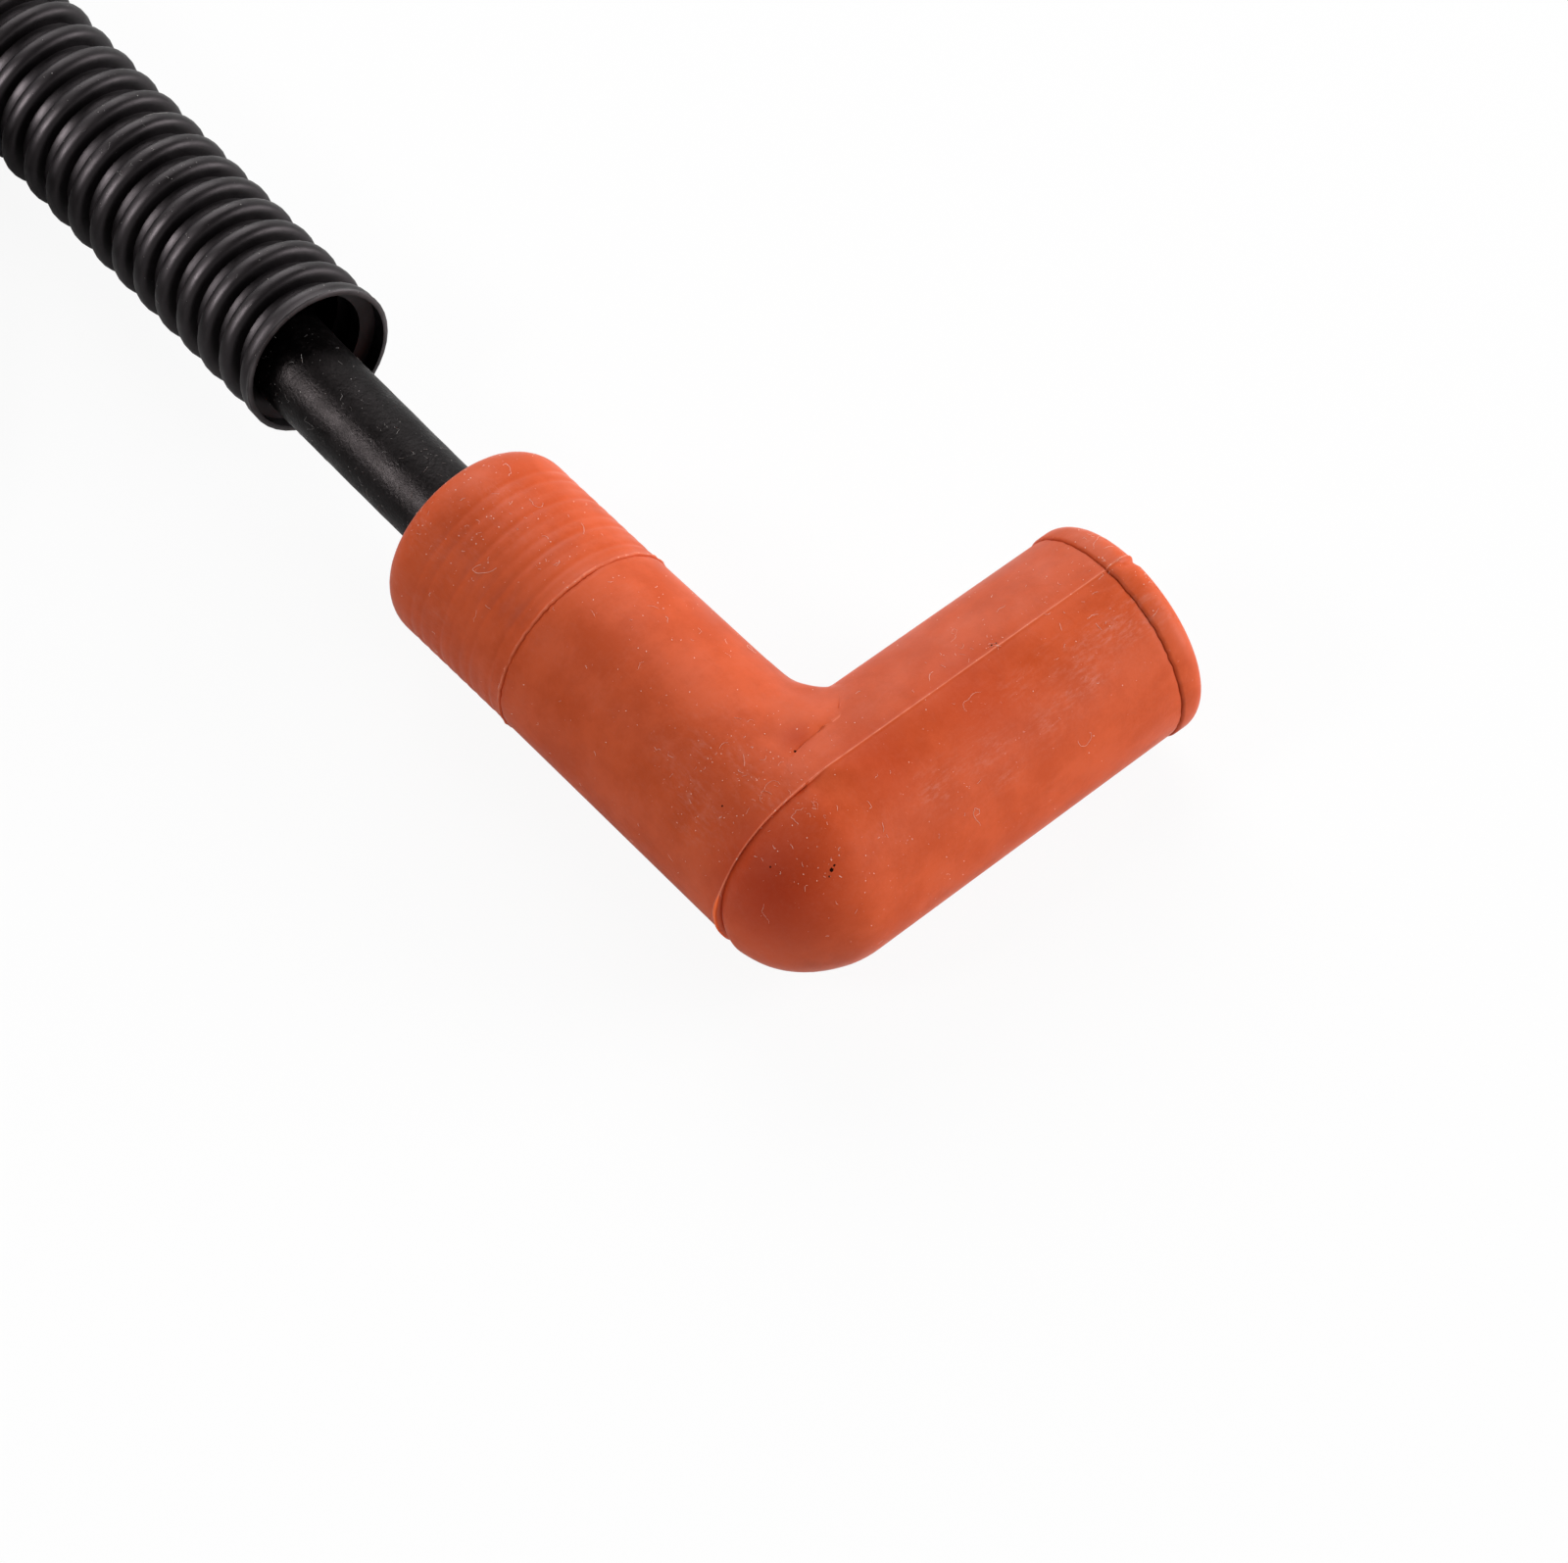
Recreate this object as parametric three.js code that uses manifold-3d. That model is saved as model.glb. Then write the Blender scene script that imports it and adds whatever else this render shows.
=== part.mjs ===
// Spark plug wire: a black silicone cable in a black corrugated loom, with a right-angle orange silicone
// boot on one end and a straight one on the other. The lead is wound into one flat turn for storage.
// Millimetres, +Z up. The elbow boot lies on the plane z = 0, with its box centred on the origin in plan.
import * as THREE from "three";
import { mergeVertices } from "three/addons/utils/BufferGeometryUtils.js";
import Module from "manifold-3d";

const wasm = await Module();
wasm.setup();

// Clearances between pieces.
const fitGap = 0.25; // round a piece that another one grips
const endGap = 0.3; // between the facing ends of two lengths of cord
const floorGap = 0.1; // under the wound loom
const chamberGap = 0.4; // between a terminal and the wall of the boot around it

// Cable.
const cableDiameter = 8;
const coreDiameter = 2.4;
const coreLength = 5.5; // bare core past the end of the jacket

// Corrugated loom.
const loomDiameter = 14.2; // over the crests
const loomWall = 0.42;
const loomValleyDepth = 0.9;
const loomPitch = 3.3;
const loomFrontRings = 17;

// Elbow boot, measured from the point where its two arms' axes cross.
const socketArmRadius = 10; // also the ball of the outer corner
const socketArmTaper = 0.3; // lost from the radius between the corner and the rim
const socketArmLength = 35.8;
const cableArmRadius = 9.5;
const cableArmTaper = 0.25; // lost from the radius between the corner and the mould ring
const cableArmLength = 44.4;
const cornerFillet = 4.5;
const webReach = 1.15; // how far the corner's web goes up and down the arms, in radians
const webInset = 0.1; // how deep the web's edges lie in the arms
const mouldRingDistance = 27.9;

// Details that both boots share.
const mouldRingWidth = 0.4;
const mouldRingHeight = 0.25;
const grooveCount = 9;
const groovePitch = 1.25;
const grooveDepth = 0.14;
const endRounding = 3.4;
const rimLength = 2.9;
const rimNotchWidth = 0.5;
const rimNotchDepth = 0.35;
const rimHeight = 0.2; // how far the rim stands out
const rimRounding = 1.2;
const socketBore = 13;
const socketMouthChamfer = 0.8;
const sealRibHeight = 0.4;
const sealRibWidth = 1.4;
const sealRibSpacing = 4;

// Straight boot.
const plugBootRadius = 9.25;
const plugBootLength = 70;
const plugRingDistance = 15.6; // cable end to mould ring
const plugRingToChamber = 6;
const plugLeadIn = 5; // straight cable between the bend and the boot

// Snap terminals, folded from sheet.
const sheetThickness = 0.5;
const gripLength = 6; // round the jacket
const crimpLength = 4.5; // round the core
const snapBore = 6.5;
const snapLength = 14;
const snapSlotWidth = 1.3;
const snapLap = 1.5; // how far the barrel runs past the axis of the cable
const springWire = 0.7;
const springOpening = THREE.MathUtils.degToRad(70);
const springPlace = 0.55; // share of the barrel's length
const stripWidth = 3.2;
const stripDrop = 2.6; // length of the slope between crimp and grip
const gripSeam = 1;
const plugNeck = 6.5; // end of the jacket to the barrel of the straight terminal
const jacketEnd = 15; // corner of the elbow to the end of the jacket

// Wound turn: a flat spiral to the left of the lead, with its last stretch inside its first.
const loopOuterRadius = 80;
const loopRunSpacing = 15.5;
const loopStart = new THREE.Vector2(5.5, 140);
const tieBand = 1;
const tieWidth = 3.6;
const tieClearance = 0.55;
const tieDistance = 8; // before the start of the turn
const tieRise = 1.6; // how far both runs are lifted at the tie
const tieReach = 16; // how far along the runs the lift fades
const tieHead = new THREE.Vector3(6, 5, 3.3);
const cableDrop = 1.3; // cable's axis below the loom's axis in the turn
const tailBend = 36; // bend radius of the bare end of the cable

// Counts of facets.
const bootFacets = 28;
const cordFacets = 12;
const loomFacets = 12;
const sheetFacets = 20;
const roundingSteps = 4;
const webLevels = 10;
const webArcSteps = 4;
const tieArcSteps = 8;
const turnPointCount = 48;
const tailArcPoints = 6;
const tailStraightPoints = 4;
const cableFrontSteps = 12;
const loopSteps = 34;
const tailSteps = 7;
const curveDivisions = 1200;

// Values worked out from those above.
const cableRadius = cableDiameter / 2;
const loomRadius = loomDiameter / 2;
const loomBoreRadius = loomRadius - loomValleyDepth - loomWall;
const bootBoreRadius = cableRadius + fitGap;
const gripRadius = cableRadius + fitGap + sheetThickness;
const chamberRadius = gripRadius + chamberGap;
const socketBoreRadius = socketBore / 2;
const snapInnerRadius = snapBore / 2;
const snapRadius = snapInnerRadius + sheetThickness;
const crimpRadius = coreDiameter / 2 + fitGap + sheetThickness;
const axisHeight = socketArmRadius;
const plugAxisHeight = plugBootRadius + mouldRingHeight;
const loomHeight = loomRadius + floorGap;
const elbowChamberEnd = jacketEnd + gripLength + chamberGap;
const elbowChamberMouth = snapLength - snapLap + chamberGap;
const plugChamberStart = plugRingDistance + plugRingToChamber;
const plugJacketEnd = plugChamberStart + chamberGap + gripLength;
const plugChamberMouth = plugJacketEnd + plugNeck + snapLength + chamberGap;
const boxSpan = new THREE.Vector2(socketArmLength - socketArmRadius, cableArmLength - socketArmRadius);
const boxCentre = boxSpan.divideScalar(2);
const loopCentre = new THREE.Vector2(loopStart.x - loopOuterRadius, loopStart.y);
const loopEndRadius = loopOuterRadius - loopRunSpacing;
const tailCentre = new THREE.Vector2(loopCentre.x + loopEndRadius - tailBend, loopCentre.y);
const plugPlace = new THREE.Vector3(tailCentre.x - plugLeadIn, tailCentre.y + tailBend, plugAxisHeight);
const loomFlank = loomPitch * 0.09; // how much narrower the inside of a crest is, at each side

// Materials.
const orangeSilicone = new THREE.MeshStandardMaterial({ color: 0xc2522f, roughness: 0.62, metalness: 0 });
const blackSilicone = new THREE.MeshStandardMaterial({ color: 0x1d1d1f, roughness: 0.6, metalness: 0 });
const loomPlastic = new THREE.MeshStandardMaterial({ color: 0x222224, roughness: 0.42, metalness: 0 });
const tiePlastic = new THREE.MeshStandardMaterial({ color: 0x18181a, roughness: 0.4, metalness: 0 });
const platedBrass = new THREE.MeshStandardMaterial({ color: 0xb99a5b, roughness: 0.35, metalness: 1 });
const springSteel = new THREE.MeshStandardMaterial({ color: 0x9a9c9f, roughness: 0.35, metalness: 1 });

// Closed meshes and solids.

// Merges shared corners and drops the faces that have no area.
function closed(geometry) {
  const bare = geometry.clone();
  bare.deleteAttribute("normal");
  bare.deleteAttribute("uv");
  const merged = mergeVertices(bare, 1e-5);
  const corners = merged.index.array;
  const kept = [];
  for (let i = 0; i < corners.length; i += 3) {
    const [a, b, c] = [corners[i], corners[i + 1], corners[i + 2]];
    if (a !== b && b !== c && c !== a) {
      kept.push(a, b, c);
    }
  }
  merged.setIndex(kept);
  return merged;
}

function solid(geometry) {
  const mesh = closed(geometry);
  return new wasm.Manifold(new wasm.Mesh({
    numProp: 3,
    vertProperties: new Float32Array(mesh.attributes.position.array),
    triVerts: new Uint32Array(mesh.index.array),
  }));
}

function geometryOf(manifold) {
  const mesh = manifold.getMesh();
  const geometry = new THREE.BufferGeometry();
  geometry.setAttribute("position", new THREE.BufferAttribute(new Float32Array(mesh.vertProperties), 3));
  geometry.setIndex(Array.from(mesh.triVerts));
  geometry.computeVertexNormals();
  return geometry;
}

function union(solids) {
  return solids.reduce((whole, next) => whole.add(next));
}

// A solid of revolution about +Y. Each point of the outline is [distance along the axis, radius].
function turned(outline, facets) {
  const points = outline.map(([along, radius]) => new THREE.Vector2(radius, along));
  return new THREE.LatheGeometry(points, facets);
}

// Turns a shape that stands along +Y so that it lies along +X.
function alongX(geometry) {
  return geometry.rotateZ(-Math.PI / 2);
}

// A plain pipe along +Y, from one distance to another.
function pipe(start, end, innerRadius, outerRadius, facets) {
  const outline = [[start, innerRadius], [start, outerRadius], [end, outerRadius], [end, innerRadius]];
  return turned([...outline, outline[0]], facets);
}

// A plain rod along +Y.
function rod(start, end, radius, facets) {
  return turned([[start, 0], [start, radius], [end, radius], [end, 0]], facets);
}

function box(low, high) {
  const size = high.map((value, i) => value - low[i]);
  const centre = high.map((value, i) => (value + low[i]) / 2);
  return new THREE.BoxGeometry(...size).translate(...centre);
}

// Bends a shape that stands along +Y so that it follows a curve, by length along the curve.
function bent(geometry, curve) {
  const length = curve.getLength();
  const position = geometry.attributes.position;
  const vertical = new THREE.Vector3(0, 0, 1);
  for (let i = 0; i < position.count; i += 1) {
    const share = THREE.MathUtils.clamp(position.getY(i) / length, 0, 1);
    const tangent = curve.getTangentAt(share);
    const side = new THREE.Vector3().crossVectors(tangent, vertical).normalize();
    const top = new THREE.Vector3().crossVectors(side, tangent);
    const place = curve.getPointAt(share);
    place.addScaledVector(side, position.getX(i));
    place.addScaledVector(top, position.getZ(i));
    position.setXYZ(i, place.x, place.y, place.z);
  }
  return geometry;
}

function circle(radius, facets) {
  const points = [];
  for (let i = 0; i < facets; i += 1) {
    const angle = (i / facets) * 2 * Math.PI;
    points.push(new THREE.Vector2(radius * Math.cos(angle), radius * Math.sin(angle)));
  }
  return points;
}

// A round cord, hollow where a bore is given, swept along a curve.
function cord(curve, radius, steps, bore = 0) {
  const section = new THREE.Shape(circle(radius, cordFacets));
  if (bore > 0) {
    section.holes.push(new THREE.Path(circle(bore, cordFacets)));
  }
  return new THREE.ExtrudeGeometry(section, { steps, extrudePath: curve, bevelEnabled: false });
}

// Outlines of the boots, as [distance, radius] from the corner of the elbow or the end of the straight boot.

// Mould ring, grooved stretch and rounded end.
function cableEndPoints(ringDistance, length, radius) {
  const points = [
    [ringDistance, radius],
    [ringDistance, radius + mouldRingHeight],
    [ringDistance + mouldRingWidth, radius + mouldRingHeight],
    [ringDistance + mouldRingWidth, radius],
  ];
  for (let i = 1; i <= grooveCount; i += 1) {
    const middle = ringDistance + mouldRingWidth + i * groovePitch;
    points.push([middle - groovePitch / 3, radius]);
    points.push([middle, radius - grooveDepth]);
  }
  for (let i = 0; i <= roundingSteps; i += 1) {
    const angle = (i / roundingSteps) * (Math.PI / 2);
    const along = length - endRounding * (1 - Math.sin(angle));
    points.push([along, radius - endRounding * (1 - Math.cos(angle))]);
  }
  return points;
}

// Notch and rim of the socket end.
function rimPoints(length, radius) {
  const rimStart = length - rimLength;
  return [
    [rimStart - rimNotchWidth, radius],
    [rimStart - rimNotchWidth / 2, radius - rimNotchDepth],
    [rimStart, radius + rimHeight],
    [length - rimRounding, radius + rimHeight],
    [length - rimRounding * 0.3, radius + rimHeight - rimRounding * 0.3],
    [length, radius + rimHeight - rimRounding],
  ];
}

// The hollow that takes the plug or tower: a bore with two sealing ribs and a chamfered mouth.
function socketHollow(start, length) {
  const outline = [[start, 0], [start, socketBoreRadius]];
  for (const place of [2, 1]) {
    const rib = length - socketMouthChamfer - place * sealRibSpacing;
    outline.push([rib - sealRibWidth / 2, socketBoreRadius]);
    outline.push([rib, socketBoreRadius - sealRibHeight]);
    outline.push([rib + sealRibWidth / 2, socketBoreRadius]);
  }
  outline.push([length - socketMouthChamfer, socketBoreRadius]);
  outline.push([length + 1, socketBoreRadius + socketMouthChamfer + 1]);
  outline.push([length + 1, 0]);
  return turned(outline, sheetFacets);
}

// The rounded web in the inner corner: in each level slice it fills the corner between the two arms.
function cornerWeb() {
  const rings = [];
  for (let i = 0; i <= webLevels; i += 1) {
    const angle = THREE.MathUtils.lerp(-webReach, webReach, i / webLevels);
    const height = (cableArmRadius - webInset) * Math.sin(angle);
    const acrossCable = Math.sqrt((cableArmRadius - webInset) ** 2 - height ** 2);
    const acrossSocket = Math.sqrt((socketArmRadius - webInset) ** 2 - height ** 2);
    const fillet = (cornerFillet + webInset) * Math.cos(angle);
    const ring = [[0, 0], [acrossCable + fillet, 0]];
    for (let j = 0; j <= webArcSteps; j += 1) {
      const turn = (j / webArcSteps) * (Math.PI / 2);
      ring.push([
        acrossCable + fillet * (1 - Math.sin(turn)),
        acrossSocket + fillet * (1 - Math.cos(turn)),
      ]);
    }
    ring.push([0, acrossSocket + fillet]);
    rings.push(ring.map(([x, y]) => [x, y, height]));
  }
  const corners = rings[0].length;
  const top = webLevels * corners;
  const faces = [];
  for (let i = 1; i + 1 < corners; i += 1) {
    faces.push(0, i + 1, i);
    faces.push(top, top + i, top + i + 1);
  }
  for (let low = 0; low < top; low += corners) {
    for (let i = 0; i < corners; i += 1) {
      const next = (i + 1) % corners;
      faces.push(low + i, low + next, low + corners + next);
      faces.push(low + i, low + corners + next, low + corners + i);
    }
  }
  const geometry = new THREE.BufferGeometry();
  geometry.setAttribute("position", new THREE.Float32BufferAttribute(rings.flat(2), 3));
  geometry.setIndex(faces);
  return geometry;
}

// Boots.

// The cable arm lies along +Y and the socket arm along +X.
function elbowBoot() {
  const cableArm = [
    [0, 0],
    [0, cableArmRadius],
    ...cableEndPoints(mouldRingDistance, cableArmLength, cableArmRadius - cableArmTaper),
    [cableArmLength, 0],
  ];
  const socketArm = [
    [0, 0],
    [0, socketArmRadius],
    ...rimPoints(socketArmLength, socketArmRadius - socketArmTaper),
    [socketArmLength, 0],
  ];
  const body = union([
    solid(turned(cableArm, bootFacets)),
    solid(alongX(turned(socketArm, bootFacets))),
    solid(new THREE.SphereGeometry(socketArmRadius, bootFacets, bootFacets / 2)),
    solid(cornerWeb()),
  ]);
  const hollow = union([
    solid(rod(0, cableArmLength + 1, bootBoreRadius, sheetFacets)),
    solid(rod(0, elbowChamberEnd, chamberRadius, sheetFacets)),
    solid(new THREE.SphereGeometry(chamberRadius, sheetFacets, sheetFacets / 2)),
    solid(alongX(rod(0, elbowChamberMouth, chamberRadius, sheetFacets))),
    solid(alongX(socketHollow(elbowChamberMouth, socketArmLength))),
  ]);
  return geometryOf(body.subtract(hollow));
}

// Stands along +Y: the cable goes in at y = 0 and the socket opens at the far end.
function plugBoot() {
  const cableEnd = cableEndPoints(plugBootLength - plugRingDistance, plugBootLength, plugBootRadius)
    .map(([along, radius]) => [plugBootLength - along, radius])
    .reverse();
  const outline = [[0, 0], ...cableEnd, ...rimPoints(plugBootLength, plugBootRadius), [plugBootLength, 0]];
  const hollow = union([
    solid(rod(-1, plugChamberStart + 1, bootBoreRadius, sheetFacets)),
    solid(rod(plugChamberStart, plugChamberMouth, chamberRadius, sheetFacets)),
    solid(socketHollow(plugChamberMouth, plugBootLength)),
  ]);
  return geometryOf(solid(turned(outline, bootFacets)).subtract(hollow));
}

// Terminals. The jacket of the cable ends at y = 0 and comes from +Y; its core points to -Y.

// The barrel that snaps on the stud, along +Y, with a slot at its open end.
function snapBarrel(start) {
  const end = start + snapLength;
  const barrel = solid(pipe(start, end, snapInnerRadius, snapRadius, sheetFacets));
  const half = snapSlotWidth / 2;
  const slot = box([-half, start + snapLength / 4, 0], [half, end + 1, snapRadius + 1]);
  return barrel.subtract(solid(slot));
}

// The grip round the jacket, the crimp round the core, and the strip of sheet that carries both.
function wireEnd(reach) {
  const grip = solid(pipe(0, gripLength, gripRadius - sheetThickness, gripRadius, sheetFacets));
  const seam = box([-gripSeam / 2, -1, 0], [gripSeam / 2, gripLength + 1, gripRadius + 1]);
  const crimpBore = crimpRadius - sheetThickness;
  const crimp = solid(pipe(-crimpLength - endGap, -endGap, crimpBore, crimpRadius, sheetFacets));
  const outline = [
    [-reach, -crimpRadius], [-stripDrop, -crimpRadius], [-endGap, -gripRadius], [gripLength, -gripRadius],
    [gripLength, sheetThickness - gripRadius], [0, sheetThickness - gripRadius],
    [0.3 - stripDrop, sheetThickness - crimpRadius], [-reach, sheetThickness - crimpRadius],
  ];
  const side = new THREE.Shape(outline.map(([along, height]) => new THREE.Vector2(along, height)));
  const plate = new THREE.ExtrudeGeometry(side, { depth: stripWidth, bevelEnabled: false });
  plate.translate(0, 0, -stripWidth / 2);
  plate.applyMatrix4(new THREE.Matrix4().makeBasis(
    new THREE.Vector3(0, 1, 0), new THREE.Vector3(0, 0, 1), new THREE.Vector3(1, 0, 0)));
  const jacketSpace = solid(rod(-endGap, gripLength + 1, gripRadius - sheetThickness, sheetFacets));
  const strip = solid(plate).subtract(jacketSpace);
  return union([grip.subtract(solid(seam)), crimp, strip]);
}

// In the elbow's frame: the wire comes along the cable arm and the barrel lies in the socket arm.
function elbowTerminal() {
  const barrel = snapBarrel(-snapLap).rotate([0, 0, -90]);
  const barrelSpace = solid(alongX(rod(-snapLap - 1, snapLength + 1, snapInnerRadius, sheetFacets)));
  const wire = wireEnd(jacketEnd - snapInnerRadius + snapRadius / 4).translate([0, jacketEnd, 0]);
  return geometryOf(barrel.add(wire.subtract(barrelSpace)));
}

// Stands along +Y like the straight boot, with the end of the jacket at y = 0 and the barrel beyond it.
function plugTerminal() {
  const wire = wireEnd(plugNeck + sheetThickness).rotate([0, 0, 180]);
  const floorRadius = snapRadius - fitGap / 2;
  const floor = solid(pipe(plugNeck, plugNeck + sheetThickness, coreDiameter / 2, floorRadius, sheetFacets));
  return geometryOf(union([wire, snapBarrel(plugNeck), floor]));
}

// The open wire ring round a snap barrel, about the axis +Y.
function snapSpring() {
  const radius = snapRadius + fitGap + springWire / 2;
  const arc = new THREE.Curve();
  arc.getPoint = (share) => {
    const angle = Math.PI / 2 + springOpening / 2 + share * (2 * Math.PI - springOpening);
    return new THREE.Vector3(radius * Math.cos(angle), 0, radius * Math.sin(angle));
  };
  const section = new THREE.Shape(circle(springWire / 2, 6));
  return new THREE.ExtrudeGeometry(section, { steps: 16, extrudePath: arc, bevelEnabled: false });
}

// Routes of the cord, in the elbow's frame: x along the socket arm, y along the cable arm, z over the floor.

// Axis of the loom, from its mouth down to the floor and over the tie.
const loomLeadPoints = [
  [1.45, 64.4, 11.35], [1.93, 69.5, 10.5], [2.41, 75, 9.72], [2.8, 80, 9.1], [3.15, 85, 8.55],
  [3.47, 90, 8.1], [3.76, 95, 7.75], [4.0, 100, 7.5], [4.21, 105, 7.37], [4.42, 110, 7.4],
  [4.6, 115, 7.65], [4.85, 120, 8.05], [5.1, 126, 8.6], [5.3, 132, 8.8],
];

// Axis of the cable, from inside the boot to the tie. In the loom it lies low and to one side.
const cableLeadPoints = [
  [0, jacketEnd, axisHeight], [0, 22, axisHeight], [0, 30, axisHeight], [0, 38, axisHeight],
  [0, 44.4, axisHeight], [0.05, 50, 10.07], [0.15, 57, 10.2], [0.3, 64.4, 10.3], [0.9, 69.5, 9.5],
  [1.6, 75, 8.64], [2.2, 80, 7.92], [2.75, 85, 7.3], [3.2, 90, 6.82], [3.6, 95, 6.46],
  [3.95, 100, 6.2], [4.21, 105, 6.07], [4.42, 110, 6.1], [4.6, 115, 6.35], [4.85, 120, 6.75],
  [5.1, 126, 7.3], [5.3, 132, 7.5],
];

function tieLift(distance) {
  return tieRise * Math.exp(-((distance / tieReach) ** 2));
}

// The wound turn: a spiral that ends one run inside its start, lifted where the tie goes under it.
function turnPoints(height) {
  const points = [];
  for (let i = 0; i <= turnPointCount; i += 1) {
    const share = i / turnPointCount;
    const angle = share * 2 * Math.PI;
    const radius = loopOuterRadius - loopRunSpacing * share;
    const toEnd = radius * (2 * Math.PI - angle);
    const lift = tieLift(tieDistance + radius * angle) + tieLift(toEnd - tieDistance);
    points.push([
      loopCentre.x + radius * Math.cos(angle),
      loopCentre.y + radius * Math.sin(angle),
      height + lift,
    ]);
  }
  return points;
}

// The bare end of the cable: a quarter turn inwards, then straight into the straight boot.
function tailPoints() {
  const points = [];
  const startHeight = loomHeight - cableDrop + tieLift(tieDistance);
  for (let i = 1; i <= tailArcPoints; i += 1) {
    const share = i / tailArcPoints;
    const angle = share * (Math.PI / 2);
    points.push([
      tailCentre.x + tailBend * Math.cos(angle),
      tailCentre.y + tailBend * Math.sin(angle),
      THREE.MathUtils.lerp(startHeight, plugAxisHeight, THREE.MathUtils.smoothstep(share, 0, 1)),
    ]);
  }
  for (let i = 0; i <= tailStraightPoints; i += 1) {
    const x = plugPlace.x - (i / tailStraightPoints) * plugJacketEnd;
    points.push([x, plugPlace.y, plugPlace.z]);
  }
  return points;
}

function smooth(points) {
  return new THREE.CatmullRomCurve3(points.map((point) => new THREE.Vector3(...point)), false, "centripetal");
}

// A part of a curve, from one length along it to another.
function stretch(curve, from, to) {
  const length = curve.getLength();
  const part = new THREE.Curve();
  part.getPoint = (share) => {
    const along = THREE.MathUtils.lerp(from, to, share) / length;
    return curve.getPointAt(THREE.MathUtils.clamp(along, 0, 1));
  };
  return part;
}

// Cords.

const loomCurve = smooth([...loomLeadPoints, ...turnPoints(loomHeight)]);
const cableToLoomEnd = [...cableLeadPoints, ...turnPoints(loomHeight - cableDrop)];
const cableCurve = smooth([...cableToLoomEnd, ...tailPoints()]);
loomCurve.arcLengthDivisions = curveDivisions;
cableCurve.arcLengthDivisions = curveDivisions;
const loomLength = loomCurve.getLength();
const cableLength = cableCurve.getLength();
const loomFrontLength = loomFrontRings * loomPitch;
const cableToLoom = loomLeadPoints[0][1] - jacketEnd;
const cableFrontLength = cableToLoom + loomFrontLength;
const tailStart = smooth(cableToLoomEnd).getLength();

function cableFront() {
  const jacket = cord(stretch(cableCurve, 0, cableFrontLength), cableRadius, cableFrontSteps);
  const core = rod(jacketEnd - coreLength, jacketEnd + 1, coreDiameter / 2, cordFacets);
  return geometryOf(solid(jacket).add(solid(core.translate(0, 0, axisHeight))));
}

// The stretch of loom behind its mouth, with every ring of the tube: a crest, a flank, a valley, a flank.
function loomFront() {
  const crest = loomRadius;
  const valley = crest - loomValleyDepth;
  const outside = [];
  const inside = [];
  for (let i = 0; i < loomFrontRings; i += 1) {
    const start = i * loomPitch;
    const [crestStart, crestEnd] = [start + loomPitch * 0.06, start + loomPitch * 0.58];
    const [valleyStart, valleyEnd] = [start + loomPitch * 0.7, start + loomPitch * 0.94];
    outside.push([crestStart, crest], [crestEnd, crest], [valleyStart, valley], [valleyEnd, valley]);
    inside.push([crestStart + loomFlank, crest - loomWall], [crestEnd - loomFlank, crest - loomWall]);
    inside.push([valleyStart - loomFlank, valley - loomWall], [valleyEnd + loomFlank, valley - loomWall]);
  }
  outside[0][0] = 0;
  inside[0][0] = 0;
  outside[outside.length - 1][0] = loomFrontLength;
  inside[inside.length - 1][0] = loomFrontLength;
  const outline = [...outside, ...inside.reverse(), outside[0]];
  return bent(turned(outline, loomFacets), stretch(loomCurve, 0, loomFrontLength));
}

// The band of the tie round both runs, and its head between them.
function coilTie() {
  const [leadX, tieY] = loomLeadPoints[loomLeadPoints.length - 1];
  const turnAngle = 2 * Math.PI - Math.asin(tieDistance / loopEndRadius);
  const turnRadius = loopOuterRadius - (loopRunSpacing * turnAngle) / (2 * Math.PI);
  const turnX = loopCentre.x + turnRadius * Math.cos(turnAngle);
  const height = loomHeight + tieRise;
  const outer = loomRadius + tieClearance + tieBand;
  const inner = loomRadius + tieClearance;
  const band = (radius) => {
    const shape = new THREE.Shape();
    shape.absarc(leadX, height, radius, -Math.PI / 2, Math.PI / 2, false);
    shape.absarc(turnX, height, radius, Math.PI / 2, Math.PI * 1.5, false);
    return new THREE.Shape(shape.getPoints(tieArcSteps));
  };
  const shape = band(outer);
  shape.holes.push(new THREE.Path(band(inner).getPoints()));
  const ring = new THREE.ExtrudeGeometry(shape, { depth: tieWidth, bevelEnabled: false });
  ring.rotateX(Math.PI / 2).translate(0, tieY + tieWidth / 2, 0);
  const middle = (leadX + turnX) / 2;
  const head = box(
    [middle - tieHead.x / 2, tieY - tieHead.y / 2, height + inner],
    [middle + tieHead.x / 2, tieY + tieHead.y / 2, height + inner + tieHead.z]);
  return geometryOf(solid(ring).add(solid(head)));
}

// Assembly.

function piece(name, geometry, material) {
  const mesh = new THREE.Mesh(closed(geometry), material);
  mesh.name = name;
  return mesh;
}

const elbowEnd = new THREE.Group();
elbowEnd.position.z = axisHeight;
const elbowSpring = piece("elbow_terminal_spring", snapSpring(), springSteel);
elbowSpring.rotation.z = -Math.PI / 2;
elbowSpring.position.x = snapLength * springPlace - snapLap;
elbowEnd.add(
  piece("elbow_boot", elbowBoot(), orangeSilicone),
  piece("elbow_terminal", elbowTerminal(), platedBrass),
  elbowSpring,
);

const plugEnd = new THREE.Group();
plugEnd.position.copy(plugPlace);
plugEnd.rotation.z = Math.PI / 2;
const farTerminal = piece("plug_terminal", plugTerminal(), platedBrass);
farTerminal.position.y = plugJacketEnd;
const farSpring = piece("plug_terminal_spring", snapSpring(), springSteel);
farSpring.position.y = plugJacketEnd + plugNeck + snapLength * springPlace;
plugEnd.add(piece("plug_boot", plugBoot(), orangeSilicone), farTerminal, farSpring);

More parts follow.
